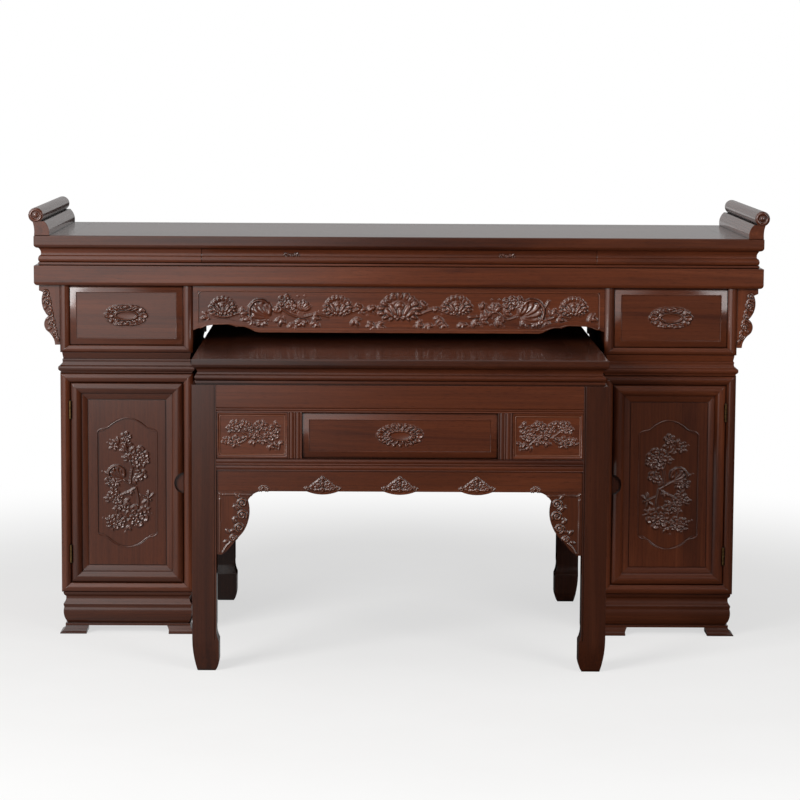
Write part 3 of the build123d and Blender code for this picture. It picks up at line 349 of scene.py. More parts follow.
def plain_drawer_wood(inner):
    """Camphor wood, planed and left under one thin coat of shellac: pale brown growth rings that
    run the length of each board, matt against the lacquered fronts."""
    material, tree = new_material("Plain_camphor_wood")
    timber, tone_and_shade = grain(tree)
    # growth rings about 6 mm apart
    rings = figure(tree, timber, (1.5, 60.0, 60.0), Scale=2.4, Detail=4.0, Roughness=0.5, Distortion=0.4)
    figured = add(tree, "ShaderNodeValToRGB", {"Fac": rings}, stops=[
        (0.38, rgba(inner.late)), (0.52, rgba(inner.early)), (0.70, rgba(inner.early))])
    bump = add(tree, "ShaderNodeBump", {"Strength": 0.25, "Distance": 0.0006, "Height": rings})
    surfaced(tree, {
        "Base Color": product(tree, figured, tone_and_shade, "ShaderNodeVectorMath"),
        "Roughness": 0.55, "Normal": bump, "IOR": 1.5})
    return material


def aged_brass(hinge):
    """Cast and brushed brass that has browned in the air: warm metal with fine scratches along
    the leaf and darker bloom where fingers don't reach."""
    material, tree = new_material("Aged_brass")
    place = add(tree, "ShaderNodeTexCoord").outputs["Object"]
    # bloom in patches of 7 mm
    bloom = add(tree, "ShaderNodeTexNoise", {"Vector": place, "Scale": 140.0, "Detail": 4.0})
    # brushing scratches, 0.4 mm apart
    scratch = figure(tree, place, (2500.0, 2500.0, 60.0), Detail=1.0)
    colour = add(tree, "ShaderNodeValToRGB", {"Fac": bloom}, stops=[
        (0.35, rgba("#3b2c1b")), (0.65, rgba(hinge.brass))])
    bump = add(tree, "ShaderNodeBump", {"Strength": 0.2, "Distance": 0.0003, "Height": scratch})
    surfaced(tree, {
        "Base Color": colour, "Metallic": 1.0,
        "Roughness": ranged(tree, bloom, 0.3, 0.7, 0.48, 0.28), "Normal": bump})
    return material


# ---------------------------------------------------------------- boards
def boards_of(mesh):
    """The boards of a CAD node, each as its points and triangles: a board ends where its skin closes."""
    spots = np.empty(len(mesh.vertices) * 3)
    mesh.vertices.foreach_get("co", spots)
    spots = spots.reshape(-1, 3)
    _, first, welded = np.unique(np.round(spots / WELD), axis=0, return_index=True, return_inverse=True)
    welded = welded.ravel()
    found, faces, unmatched = [], [], {}
    for polygon in mesh.polygons:
        loop = [welded[v] for v in polygon.vertices]
        faces.append(loop)
        for a, b in zip(loop, loop[1:] + loop[:1]):
            if a == b:
                continue
            if unmatched.get((b, a)):
                unmatched[b, a] -= 1
                if not unmatched[b, a]:
                    del unmatched[b, a]
            else:
                unmatched[a, b] = unmatched.get((a, b), 0) + 1
        if not unmatched:
            used = sorted({v for face in faces for v in face})
            order = {v: k for k, v in enumerate(used)}
            loops = [[order[v] for v in face] for face in faces if len(set(face)) == 3]
            found.append((spots[first[used]], loops))
            faces = []
    if faces:
        raise RuntimeError(f"{mesh.name}: its last board isn't closed")
    return found


def boards_in(node):
    """The boards of a node, by its name."""
    return boards_of(frame["nodes"][node].data)


def grain_of(node, number, points):
    """Each board's own run of grain: the axis along it, where it was cut from, and its tone, a random tone times
    its member's painted light and shade.
    """
    chance = np.random.default_rng(zlib.crc32(f"{node} {number}".encode()))
    size = np.ptp(points, axis=0)
    axis = int(np.argmax(size * (1.05, 1.0, 1.0)))
    # painted shade: the member's share of painted light and shade
    shade = next((s for part, s in PAINTED_SHADES.items() if part in node), 1.0)
    return axis, chance.uniform(-4, 4, 3), shade * chance.uniform(0.9, 1.1)


def store_grain(mesh, axis, start, tone_and_shade):
    """Writes the grain coordinates of one board's points, and its tone with painted light and shade."""
    spots = np.empty(len(mesh.vertices) * 3)
    mesh.vertices.foreach_get("co", spots)
    along = np.roll(spots.reshape(-1, 3), -axis, axis=1) + start
    store(mesh, "timber", "FLOAT_VECTOR", along)
    store(mesh, "tone_and_shade", "FLOAT", np.full(len(along), tone_and_shade))


def eased_board(points, loops, arris):
    """One board with its coplanar triangles joined and its outer edges eased."""
    board = bmesh.new()
    corners = [board.verts.new(p) for p in points]
    for loop in loops:
        try:
            board.faces.new([corners[v] for v in loop])
        except ValueError:
            pass
    board.normal_update()
    bmesh.ops.dissolve_limit(board, angle_limit=math.radians(ONE_FACE), verts=board.verts, edges=board.edges)
    board.normal_update()
    least = math.radians(EASED_EDGE)
    sharp = [e for e in board.edges if e.is_manifold and e.is_convex and e.calc_face_angle(0) > least]
    if sharp and arris > 0:
        bmesh.ops.bevel(board, geom=sharp, offset=arris, segments=2, profile=0.5, affect="EDGES",
                        clamp_overlap=True, loop_slide=True)
    mesh = bpy.data.meshes.new("board")
    board.to_mesh(mesh)
    board.free()
    return mesh


def eased_piece(node, material, arris):
    """A CAD node as it is made: the same boards, each with eased arrises and its own grain."""
    parts = []
    for number, (points, loops) in enumerate(boards_in(node)):
        mesh = eased_board(points, loops, arris)
        store_grain(mesh, *grain_of(node, number, points))
        parts.append(linked("board", mesh))
    piece = joined(parts, node + "_eased")
    piece.data.name = node + "_eased"
    piece.data.materials.append(material)
    piece.data.polygons.foreach_set("use_smooth", [True] * len(piece.data.polygons))
    piece.data.set_sharp_from_angle(angle=math.radians(SHARP_EDGE))
    weighted = piece.modifiers.new("Face_weighted_normals", "WEIGHTED_NORMAL")
    weighted.keep_sharp = True
    return settled(made_plain(piece), node)


# ---------------------------------------------------------------- carving
def heading(turn):
    """Sine and cosine of a turn in degrees."""
    return math.sin(math.radians(turn)), math.cos(math.radians(turn))


def dome(q):
    """A half-round section's height at q, where 0 is its middle and 1 its rim."""
    return np.sqrt(np.clip(1 - q ** 2, 0, 1))


def around(grid, mode="constant"):
    """The four neighbours of each place in a grid, as four grids."""
    wide = np.pad(grid, 1, mode=mode)
    return wide[:-2, 1:-1], wide[2:, 1:-1], wide[1:-1, :-2], wide[1:-1, 2:]


class Relief:
    """Carved work over a flat ground, as heights in millimetres on a grid in the plane of the front."""

    def __init__(self, half_x, half_z, step):
        self.step = step
        self.u = np.arange(-half_x, half_x + step / 2, step)
        self.v = np.arange(-half_z, half_z + step / 2, step)
        self.h = np.zeros((len(self.v), len(self.u)))

    def window(self, x, z, reach):
        """The part of the grid within reach of a point, and its coordinates from that point."""
        cols = slice(*np.searchsorted(self.u, (x - reach, x + reach)))
        rows = slice(*np.searchsorted(self.v, (z - reach, z + reach)))
        return self.h[rows, cols], *np.meshgrid(self.u[cols] - x, self.v[rows] - z)

    def cut(self, x, z, reach, form):
        """Sets a form over what is there, with a V-cut round it. form gives q, 1 at its rim, and a height."""
        part, u, v = self.window(x, z, reach)
        if part.size:
            q, height = form(u, v)
            # what is there falls to a tenth at the rim, from its full height at q = 1.4
            part *= np.clip(0.1 + 0.9 * (q - 1) / 0.4, 0.1, 1)
            part[:] = np.where(q < 1, height, part)

    def petal(self, x, z, turn, length, width, rise, kind="oval"):
        """A petal or leaf that grows from (x, z); turn is clockwise from upright, in degrees."""
        s, c = heading(turn)

        def form(u, v):
            p = (u * s + v * c) / length + 0.5
            w = (u * c - v * s) / (width / 2)
            if kind == "leaf":
                swell = np.clip(1 - (2 * p - 1) ** 2, 0.001, 1) ** 0.8
                q = np.abs(w) / swell
                body = dome(q)
                ribs = 0.05 * np.cos(2 * math.pi * (4 * p + 1.1 * np.abs(w)))
                return q, rise * ((0.35 + 0.65 * body) * (1 - 0.5 * np.exp(-(w / 0.15) ** 2)) - ribs * body)
            q = np.hypot(2 * p - 1, w / (0.74 + 0.36 * p))
            if kind == "oval":
                return q, rise * (0.22 + 0.78 * dome(q))
            # a cup: half as high in its middle, highest near its rim and tip
            hollow = 0.5 + 0.5 * np.clip(q / 0.74, 0, 1) ** 2.2
            rim = np.clip((1.02 - q) / 0.22, 0, 1) ** 0.6
            return q, rise * hollow * rim * (0.72 + 0.28 * p)

        self.cut(x + s * length / 2, z + c * length / 2, max(length, width), form)

    def boss(self, x, z, rx, rz, rise):
        """A plain round or oval swelling."""
        def form(u, v):
            q = np.hypot(u / rx, v / rz)
            return q, rise * (0.3 + 0.7 * dome(q))
        self.cut(x, z, 1.6 * max(rx, rz), form)

    def ring(self, x, z, rx, rz, count, length, width, rise, kind="oval", start=0.0, sweep=360.0):
        """Petals that stand out all round an oval, or round part of it."""
        for k in range(count):
            a = math.radians(start + sweep * k / (count if sweep == 360 else max(count - 1, 1)))
            turn = math.degrees(math.atan2(rx * math.sin(a), rz * math.cos(a)))
            self.petal(x + rx * math.sin(a), z + rz * math.cos(a), turn, length, width, rise, kind)

    def stem(self, points, width, rise, taper=1.0):
        """A round stem along a smooth line through points, thinner towards its end by taper."""
        p = np.array([points[0], *points, points[-1]], float)
        line = []
        for a, b, c, d in zip(p, p[1:], p[2:], p[3:]):
            steps = max(2, int(np.hypot(*(c - b)) / self.step))
            t = np.linspace(0, 1, steps, endpoint=False)[:, None]
            line.append(0.5 * (2 * b + (c - a) * t + (2 * a - 5 * b + 4 * c - d) * t ** 2
                               + (3 * b - a - 3 * c + d) * t ** 3))
        line = np.concatenate([*line, p[-1:]])
        for k, (x, z) in enumerate(line):
            half = width / 2 * (1 + (taper - 1) * k / len(line))
            part, u, v = self.window(x, z, half * 1.3)
            if part.size:
                q = np.hypot(u, v) / half
                np.maximum(part, np.where(q < 1, rise * (0.4 + 0.6 * dome(q)), 0), out=part)

    def curl(self, x, z, radius, turns, width, rise, start=0.0, hand=1):
        """A scroll that winds in from its rim to an eye."""
        a = np.linspace(0, 1, int(14 * turns) + 2)
        r = radius * (1 - 0.78 * a)
        turn = math.radians(start) + hand * 2 * math.pi * turns * a
        self.stem(np.c_[x + r * np.sin(turn), z + r * np.cos(turn)], width, rise, 0.75)
        self.boss(x, z, radius * 0.24, radius * 0.24, rise)

    # ---- flowers
    def lotus(self, x, z, rx, rz, rise):
        """An open lotus from the side: loose petals laid out behind, and a cup of upright ones whose
        seed pod stands between them."""
        self.ring(x, z, 0.60 * rx, 0.60 * rz, 7, 0.40 * rz, 0.36 * rz, 0.6 * rise, "cup", -62, 124)
        for side in (-1, 1):
            for turn, out, size in (
                (66, 0.52, 0.85), (86, 0.56, 1.0), (106, 0.56, 1.0), (126, 0.50, 0.9), (148, 0.42, 0.7),
            ):
                s, c = heading(side * turn)
                self.petal(x + out * rx * s, z + out * rz * c, side * (turn * 0.8 + 16),
                           0.46 * rx * size, 0.25 * rz * size, 0.95 * rise)
        self.boss(x, z + 0.02 * rz, 0.50 * rx, 0.52 * rz, 0.25 * rise)
        self.boss(x, z + 0.20 * rz, 0.20 * rx, 0.24 * rz, 0.8 * rise)
        for turn, length, width in ((54, 0.80, 0.34), (30, 0.92, 0.32), (0, 0.60, 0.30)):
            for side in ((-1, 1) if turn else (1,)):
                out = side * 0.0035 * turn * rx
                self.petal(x + out, z - 0.48 * rz, side * turn, length * rz, width * rz, rise)
        self.ring(x, z - 0.40 * rz, 0.10 * rx, 0.04 * rz, 4, 0.26 * rz, 0.20 * rz, 0.9 * rise, "oval", 115, 130)

    def furled_leaf(self, x, z, turn, length, rise, hand):
        """A lotus leaf that rolls over: scalloped folds from the stalk, and one thick rim that curls in."""
        for k in range(6):
            share = k / 5
            self.petal(x, z, turn + hand * (64 - 96 * share), length * (0.62 + 0.30 * math.sin(math.pi * share)),
                       0.36 * length, (0.5 + 0.08 * k) * rise, "cup")
        rim = []
        for angle, reach in ((-46, 0.12), (-40, 0.42), (-22, 0.72), (0, 0.92), (22, 0.98), (44, 0.90)):
            s, c = heading(turn + hand * angle)
            rim.append((x + reach * length * s, z + reach * length * c))
        self.stem(rim, 0.12 * length, rise, 0.8)

    def peony(self, x, z, r, rise, turn=0.0, squash=0.85):
        """A full peony: rounds of cupped petals, each turned a little from the last, round a tight heart."""
        for share, count, length, width, height in ((0.50, 6, 0.62, 0.78, 0.7), (0.18, 5, 0.52, 0.56, 0.95)):
            self.ring(x, z, share * r, share * r * squash, count, length * r, width * r, height * rise,
                      "cup", turn + 370 * share)
        self.boss(x, z, 0.20 * r, 0.19 * r, 0.7 * rise)

    def blossom(self, x, z, r, rise, turn=0.0):
        """A five-petalled blossom with a button in its middle."""
        self.ring(x, z, 0.22 * r, 0.20 * r, 5, 0.84 * r, 0.74 * r, 0.95 * rise, "cup", turn)
        self.boss(x, z, 0.22 * r, 0.22 * r, 0.7 * rise)

    def bud(self, x, z, turn, length, rise):
        """A closed bud: one petal between two sepals."""
        for side in (-34, 34):
            self.petal(x, z, turn + side, 0.62 * length, 0.30 * length, 0.6 * rise, "leaf")
        self.petal(x, z, turn, length, 0.52 * length, rise)

    def spray(self, x, z, turn, length, rise, count=3, spread=48.0):
        """Leaves that fan out from one point."""
        for k in range(count):
            share = k / max(count - 1, 1) - 0.5
            self.petal(x, z, turn + 2.2 * spread * share, length * (1.1 - 0.3 * abs(share)), 0.48 * length,
                       rise * (0.75 + 0.25 * (k % 2)), "leaf")

    def dragonfly(self, x, z, turn, length, rise):
        """A dragonfly with four narrow wings."""
        for wing in (-112, -66, 66, 112):
            self.petal(x, z, turn + wing, 0.62 * length, 0.17 * length, 0.6 * rise)
        s, c = heading(turn)
        line = [(x + reach * length * s, z + reach * length * c) for reach in (0.2, 0, -0.7)]
        self.stem(line, 0.13 * length, rise, 0.5)
        self.boss(x + 0.24 * length * s, z + 0.24 * length * c, 0.09 * length, 0.09 * length, rise)

    def trim(self, node, place, mirrored=False, inset=1.5):
        """Keeps the carving on the flat face at place that carries it, inset mm in from its edges."""
        mesh = frame["nodes"][node].data
        x, z = np.meshgrid(self.u, self.v)
        on = np.zeros(x.shape, bool)
        for polygon in mesh.polygons:
            corners = np.array([mesh.vertices[k].co for k in polygon.vertices])
            # only faces in the plane of place, within 0.3 mm
            if np.abs(corners[:, 1] - place[1]).max() > 0.3 * MM:
                continue
            p = (corners[:, ::2] - (place[0], place[2])) / MM * ((-1 if mirrored else 1), 1)
            turns = [(b[0] - a[0]) * (z - a[1]) - (b[1] - a[1]) * (x - a[0])
                     for a, b in zip(p, np.roll(p, -1, axis=0))]
            on |= (np.min(turns, axis=0) >= -1e-6) | (np.max(turns, axis=0) <= 1e-6)
        for _ in range(round(inset / self.step)):
            on = np.logical_and.reduce([on, *around(on)])
        self.h[~on] = 0
        return self

    # ---- mesh
    def build(self, name, place, node, mirrored=False, tuck=0.0006, skin=0.00006, margin=3.2):
        """The carving as a closed mesh whose ground point (0, 0) is at place. It takes in a margin of
        ground, in mm, round its forms, where the material lays glaze and painted shade. That ground is skin proud
        of the board and the back lies tuck inside it, both in metres."""
        h = self.h[:, ::-1] if mirrored else self.h
        # forms are softened by the gouge; the ground stays flat
        soft = h.copy()
        for _ in range(2):
            soft[1:-1] = (soft[:-2] + 2 * soft[1:-1] + soft[2:]) / 4
            soft[:, 1:-1] = (soft[:, :-2] + 2 * soft[:, 1:-1] + soft[:, 2:]) / 4
        h = np.where(h > 0.02, soft, 0)
        # crest: 1 where the form stands over what lies 3.2 mm round it, -1 where it lies under that
        mean, blur = h, 3.2
        for _ in range(max(2, round(blur / self.step))):
            mean = (sum(around(mean, "edge")) + mean) / 5
        # the material paints shade where crest is low, at the foot of each form, and a highlight where it is high
        crest = np.clip((h - mean) / (0.20 * max(h.max(), 0.1)), -1, 1)
        up = h > 0.05
        for _ in range(round(margin / self.step)):
            up = np.logical_or.reduce([up, *around(up)])
        cell = up[:-1, :-1] | up[1:, :-1] | up[:-1, 1:] | up[1:, 1:]
        # cells that met at one corner only are joined by a third
        for _ in range(2):
            rising = cell[1:, 1:] & cell[:-1, :-1] & ~cell[1:, :-1] & ~cell[:-1, 1:]
            falling = cell[1:, :-1] & cell[:-1, 1:] & ~cell[1:, 1:] & ~cell[:-1, :-1]
            cell[1:, :-1] |= rising
            cell[1:, 1:] |= falling
        rows, cols = np.nonzero(cell)
        wide = h.shape[1]
        base = rows * wide + cols
        quads = np.stack([base, base + 1, base + wide + 1, base + wide], 1)
        used, quads = np.unique(quads, return_inverse=True)
        quads = quads.reshape(-1, 4)
        count = len(used)
        v, u = np.divmod(used, wide)
        rise = h.ravel()[used] * MM
        front = np.c_[place[0] + self.u[u] * MM, place[1] - skin - rise, place[2] + self.v[v] * MM]
        back = front.copy()
        back[:, 1] = place[1] + tuck
        edges = np.concatenate([quads[:, [k, (k + 1) % 4]] for k in range(4)])
        code, mate = edges[:, 0] * count + edges[:, 1], edges[:, 1] * count + edges[:, 0]
        rim = edges[~np.isin(code, mate)]
        skirt = np.c_[rim[:, 1], rim[:, 0], rim[:, 0] + count, rim[:, 1] + count]
        faces = np.concatenate([quads, quads[:, ::-1] + count, skirt])
        piece = mesh_object(name, np.concatenate([front, back]).tolist(), faces.tolist(),
                            [bpy.data.materials["Carved_rosewood"]])
        points, _ = boards_in(node)[0]
        store_grain(piece.data, *grain_of(node, 0, points))
        store(piece.data, "relief", "FLOAT", np.concatenate([crest.ravel()[used], np.full(count, -1.0)]))
        return piece

    def carve(self, name, place, node, **options):
        """Builds the carving onto its board."""
        settled(self.build(name, place, node, **options), node, replaces=False)


# ---------------------------------------------------------------- operators
class ALTAR_OT_boards(bpy.types.Operator):
    """Make every wooden member with eased arrises and its own run of grain"""

    bl_idname = "altar.boards"
    bl_label = "Wooden members"

    def execute(self, context):
        wood = context.scene.altar_rosewood
        finishes = {
            "dark_lacquered_hardwood": lacquered_rosewood(wood),
            "drawer_wood": plain_drawer_wood(context.scene.altar_inner_wood),
        }
        for node, slot in SLOT_OF.items():
            if slot in finishes and not node.endswith(("_pull", "_pulls")):
                eased_piece(node, finishes[slot], wood.arris)
        carved_rosewood(wood)
        return {"FINISHED"}


class ALTAR_OT_frieze(bpy.types.Operator):
    """Carve the lotus flowers, leaves and stems of the long frieze"""

    bl_idname = "altar.frieze"
    bl_label = "Lotus frieze"

    def execute(self, context):
        rise = context.scene.altar_carving.frieze_rise / MM
        # the carving's middle line, in mm over the floor, and how deep its ground is sunk
        level, sunk = 887.0, 3.0
        r = Relief(540, 54, 1.25)
        for line in (
            ((-505, 874), (-470, 866), (-430, 876), (-398, 866), (-362, 880), (-318, 894)),
            ((-318, 890), (-290, 872), (-262, 866), (-225, 874), (-190, 868)),
            ((-150, 872), (-120, 884), (-90, 890), (-64, 878)),
            ((62, 878), (96, 889), (128, 880), (160, 872)),
            ((190, 868), (232, 872), (262, 882), (288, 862), (322, 872)),
            ((322, 870), (352, 886), (388, 890), (404, 912)),
            ((360, 866), (396, 862), (432, 872), (460, 868)),
        ):
            r.stem([(x, z - level) for x, z in line], 5.0, 0.6 * rise, 0.8)
        for x, z, turn, length, count in (
            (-512, 868, -110, 20, 3), (-428, 872, 74, 22, 3), (-418, 866, 150, 18, 3), (-398, 862, 205, 22, 4),
            (-372, 860, 150, 22, 4), (-330, 878, 10, 18, 3), (-318, 862, 190, 20, 3), (-292, 892, 80, 20, 3),
            (-286, 850, 170, 20, 4), (-258, 884, 6, 26, 5), (-262, 862, 180, 22, 4), (-232, 866, 100, 20, 3),
            (-222, 852, 200, 17, 3), (-120, 862, 150, 20, 3), (-104, 884, 70, 16, 3), (-66, 846, -120, 20, 4),
            (-58, 844, 110, 20, 3), (48, 848, 100, 18, 3), (76, 848, 160, 18, 3), (112, 866, -150, 18, 3),
            (121, 852, 200, 18, 3), (170, 852, 170, 16, 3), (200, 856, 120, 18, 3), (222, 858, 60, 20, 3),
            (240, 868, -20, 20, 3), (260, 884, 0, 22, 4), (264, 862, 120, 22, 4), (286, 880, 60, 18, 3),
            (322, 888, 40, 18, 3), (340, 862, 160, 20, 3), (366, 862, 140, 22, 4), (396, 860, 190, 18, 3),
            (414, 872, 20, 20, 3), (428, 866, 110, 18, 3), (512, 868, 110, 20, 3), (524, 866, 60, 14, 2),
        ):
            r.spray(x, z - level, turn, length, 0.8 * rise, count)
        r.furled_leaf(-348, 870 - level, -44, 60, 0.95 * rise, -1)
        r.furled_leaf(326, 874 - level, 56, 68, 0.95 * rise, 1)
        for x, z, size in ((-306, 908, 19), (-290, 898, 14), (300, 906, 19), (322, 910, 15)):
            r.blossom(x, z - level, size, 0.95 * rise, 20)
        for x, z, turn, length in (
            (-84, 884, 60, 24), (-100, 892, -60, 18), (72, 890, -30, 24), (92, 884, 60, 18), (222, 890, 20, 18),
        ):
            r.bud(x, z - level, turn, length, rise)
        for x, z, half_w, half_h in (
            (-474, 890, 37, 31), (-164, 892, 39, 33), (157, 895, 40, 32), (472, 893, 37, 31),
        ):
            r.lotus(x, z - level, half_w, half_h, rise)
        r.lotus(3, 888 - level, 60, 46, 1.05 * rise)
        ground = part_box("frieze")[0].y + sunk * MM
        r.carve("Frieze_lotus_carving", (0, ground, level * MM), "frieze")
        return {"FINISHED"}


class ALTAR_OT_doors(bpy.types.Operator):
    """Carve the peony spray of each cupboard door"""

    bl_idname = "altar.doors"
    bl_label = "Door carvings"

    def execute(self, context):
        rise = context.scene.altar_carving.door_rise / MM
        r = Relief(76, 150, 1.0)
        for line in (
            ((-45, 28), (-18, 12), (8, -4), (24, -12)), ((24, -12), (4, -26), (-18, -36), (-30, -52)),
            ((8, -4), (14, 40), (24, 70)), ((14, 40), (0, 84), (-4, 120)), ((24, -12), (30, -50), (26, -90)),
            ((-30, -52), (-28, -84), (-22, -112)),
        ):
            r.stem(line, 4.6, 0.6 * rise, 0.8)
        for x, z, turn, length, count in (
            (-22, 108, -70, 17, 3), (-34, 100, -120, 15, 3), (4, 108, 60, 13, 2), (-6, 84, -20, 15, 3),
            (4, 66, -80, 15, 3), (26, 52, 170, 16, 3), (46, 54, 140, 14, 2), (-48, 22, -120, 14, 2),
            (-30, 0, -170, 15, 3), (16, 6, 90, 15, 3), (8, -22, 170, 14, 3), (-34, -30, -30, 17, 3),
            (-46, -46, -80, 15, 3), (-8, -54, 110, 18, 3), (-26, -70, 200, 14, 2), (0, -78, -40, 14, 3),
            (48, -78, 60, 15, 3), (2, -118, 150, 15, 3), (-44, -106, -70, 15, 3), (-42, -122, -140, 13, 2),
        ):
            r.spray(x, z, turn, length, 0.75 * rise, count)
        r.blossom(-2, 124, 14, rise, 10)
        r.blossom(-34, 98, 11, 0.9 * rise, 30)
        r.bud(0, 92, -30, 19, rise)
        r.peony(30, 74, 26, 1.05 * rise, 15, 0.82)
        r.blossom(50, 60, 11, rise, 50)
        r.furled_leaf(-8, 14, -46, 46, rise, -1)
        r.blossom(38, 21, 16, rise, 40)
        r.petal(22, 10, 62, 26, 11, 0.9 * rise)
        r.blossom(-46, 3, 14, rise, 0)
        r.peony(-30, -42, 17, rise, 70, 1.0)
        r.dragonfly(56, -44, 115, 34, rise)
        r.blossom(-22, -64, 12, rise, 30)
        r.peony(26, -92, 29, 1.1 * rise, 40, 0.92)
        r.peony(-26, -108, 20, 1.05 * rise, 10, 0.9)
        for side, hand in SIDES:
            node = hand + "_door_panel"
            centre, ground = middle(node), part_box(node)[0].y + 2.5 * MM
            r.carve(node + "_carving", (centre.x, ground, centre.z), node, mirrored=side > 0)
        return {"FINISHED"}


class ALTAR_OT_table_panels(bpy.types.Operator):
    """Carve the flower sprays of the table's two small panels"""

    bl_idname = "altar.table_panels"
    bl_label = "Table panel carvings"

    def execute(self, context):
        rise = context.scene.altar_carving.panel_rise / MM
        r = Relief(80, 48, 0.9)
        for line in (((-76, -20), (-40, -24), (-8, -6), (4, 10)), ((4, 8), (30, -8), (52, -30), (68, -36)),
                     ((-8, -6), (-28, 8), (-42, 22)), ((4, 8), (34, 14), (52, 4))):
            r.stem(line, 3.8, 0.6 * rise, 0.8)
        for x, z, turn, length, count in (
            (-64, -16, -100, 12, 2), (-42, -24, 170, 12, 2), (-18, 24, -20, 13, 3), (-56, 12, -110, 12, 2),
            (2, -14, 170, 14, 3), (30, 26, 40, 12, 2), (44, -26, 130, 14, 3), (68, -22, 130, 14, 2),
            (-18, -4, 170, 12, 2), (60, 24, 50, 12, 2),
        ):
            r.spray(x, z, turn, length, 0.8 * rise, count)
        r.peony(-42, 21, 15, rise, 20, 0.95)
        r.blossom(-60, -15, 10, 0.9 * rise, 30)
        r.blossom(-40, -13, 11, rise, 0)
        r.blossom(-9, 18, 12, rise, 15)
        r.blossom(7, 2, 13, rise, 50)
        r.blossom(18, 24, 11, rise, 0)
        r.blossom(26, -14, 11, rise, 30)
        r.peony(50, 4, 18, 1.05 * rise, 60, 1.0)
        r.petal(56, -18, 150, 16, 8, 0.9 * rise)
        points = [p for p, _ in boards_in("table_front_panels")]
        for side, hand in SIDES:
            centre = next((p.min(0) + p.max(0)) / 2 for p in points if side * p.mean(0)[0] > 0)
            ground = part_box("table_front_panels")[0].y + 4.0 * MM
            r.carve("Table_panel_carving_" + hand, (centre[0], ground, centre[2]), "table_front_panels",
                    mirrored=side > 0)
        return {"FINISHED"}


class ALTAR_OT_aprons(bpy.types.Operator):
    """Carve the palmettes of the table's aprons"""

    bl_idname = "altar.aprons"
    bl_label = "Apron palmettes"

    def execute(self, context):
        rise = 3.4
        r = Relief(48, 26, 0.9)
        for side in (-1, 1):
            r.stem([(0, 17), (side * 12, 10), (side * 25, -2), (side * 36, -9)], 3.6, 0.8 * rise)
            r.curl(side * 39, -9, 5.5, 1.1, 2.8, 0.8 * rise, side * 90, side)
        r.ring(0, -12, 20, 12, 9, 12, 9, 0.7 * rise, "cup", -84, 168)
        r.ring(0, -14, 10, 8, 7, 12, 8, 0.9 * rise, "cup", -90, 180)
        r.boss(0, -13, 7, 6, rise)
        r.ring(0, -12, 16, 1, 5, 6, 7, 0.8 * rise, "oval", 130, 100)
        r.petal(0, 8, 0, 13, 8, rise)
        flower = Relief(14, 9, 0.8)
        for x, z in ((-8, -2), (0, 4), (8, -2)):
            flower.blossom(x, z, 5.5, 0.7 * rise)
        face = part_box("table_aprons")[0].y
        spots = [(r, x, 482.5) for x in (-196.5, 0, 196.5)] + [(flower, x, 472.5) for x in (-346, 346)]
        pieces = []
        for form, x, z in spots:
            place = (x * MM, face, z * MM)
            form.trim("table_aprons", place, inset=1)
            pieces.append(form.build("palmette", place, "table_aprons", margin=1.5))
        settled(joined(pieces, "Apron_palmettes"), "table_aprons", replaces=False)
        return {"FINISHED"}


class ALTAR_OT_spandrels(bpy.types.Operator):
    """Carve the scrolls of the spandrels under the slab and beside the table's legs"""

    bl_idname = "altar.spandrels"
    bl_label = "Spandrel scrolls"

    def execute(self, context):
        rise = 2.6
        table = Relief(58, 82, 0.9)
        # from the corner of leg and apron: x grows towards the opening, z is up
        table.stem([(-47, -76), (-47, 62), (-40, 72), (34, 72)], 2.4, 0.5 * rise)
        for x, z, size, hand in ((10, 51, 13, 1), (9, 20, 13, -1), (3, -12, 12, 1), (-14, -40, 9, -1)):
            table.petal(x - 8, z + 12, -40, 15, 8, 0.8 * rise, "leaf")
            table.petal(x - 12, z - 6, -110, 13, 7, 0.7 * rise, "leaf")
            table.curl(x, z, size, 1.5, 4.4, rise, 200 if hand > 0 else 120, hand)
        table.stem([(-20, -50), (-30, -60), (-40, -76)], 3.6, 0.7 * rise, 0.6)
        for side, hand in SIDES:
            place = (side * 0.410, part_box("table_spandrels")[0].y, 0.3835)
            table.trim("table_spandrels", place, side > 0).carve(
                "Table_spandrel_scrolls_" + hand, place, "table_spandrels", mirrored=side > 0, margin=2)
        hung = Relief(28, 80, 0.9)
        for x, z, size, hand in (
            (10, 60, 12, 1), (4, 32, 12, -1), (-2, 4, 11, 1), (-8, -24, 10, -1), (-14, -50, 8, 1),
        ):
            hung.curl(x, z, size, 1.4, 3.8, rise, 90, hand)
            hung.petal(x - 6, z - 8, 200, 15, 8, 0.85 * rise, "leaf")
            hung.petal(x + 2, z - 8, 130, 14, 8, 0.8 * rise, "leaf")
        for side, hand in SIDES:
            node = hand + "_spandrels"
            low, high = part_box(node)
            place = ((low.x + high.x) / 2, low.y, (low.z + high.z) / 2)
            hung.trim(node, place, side < 0).carve(node + "_scrolls", place, node, mirrored=side < 0, margin=1)
        return {"FINISHED"}


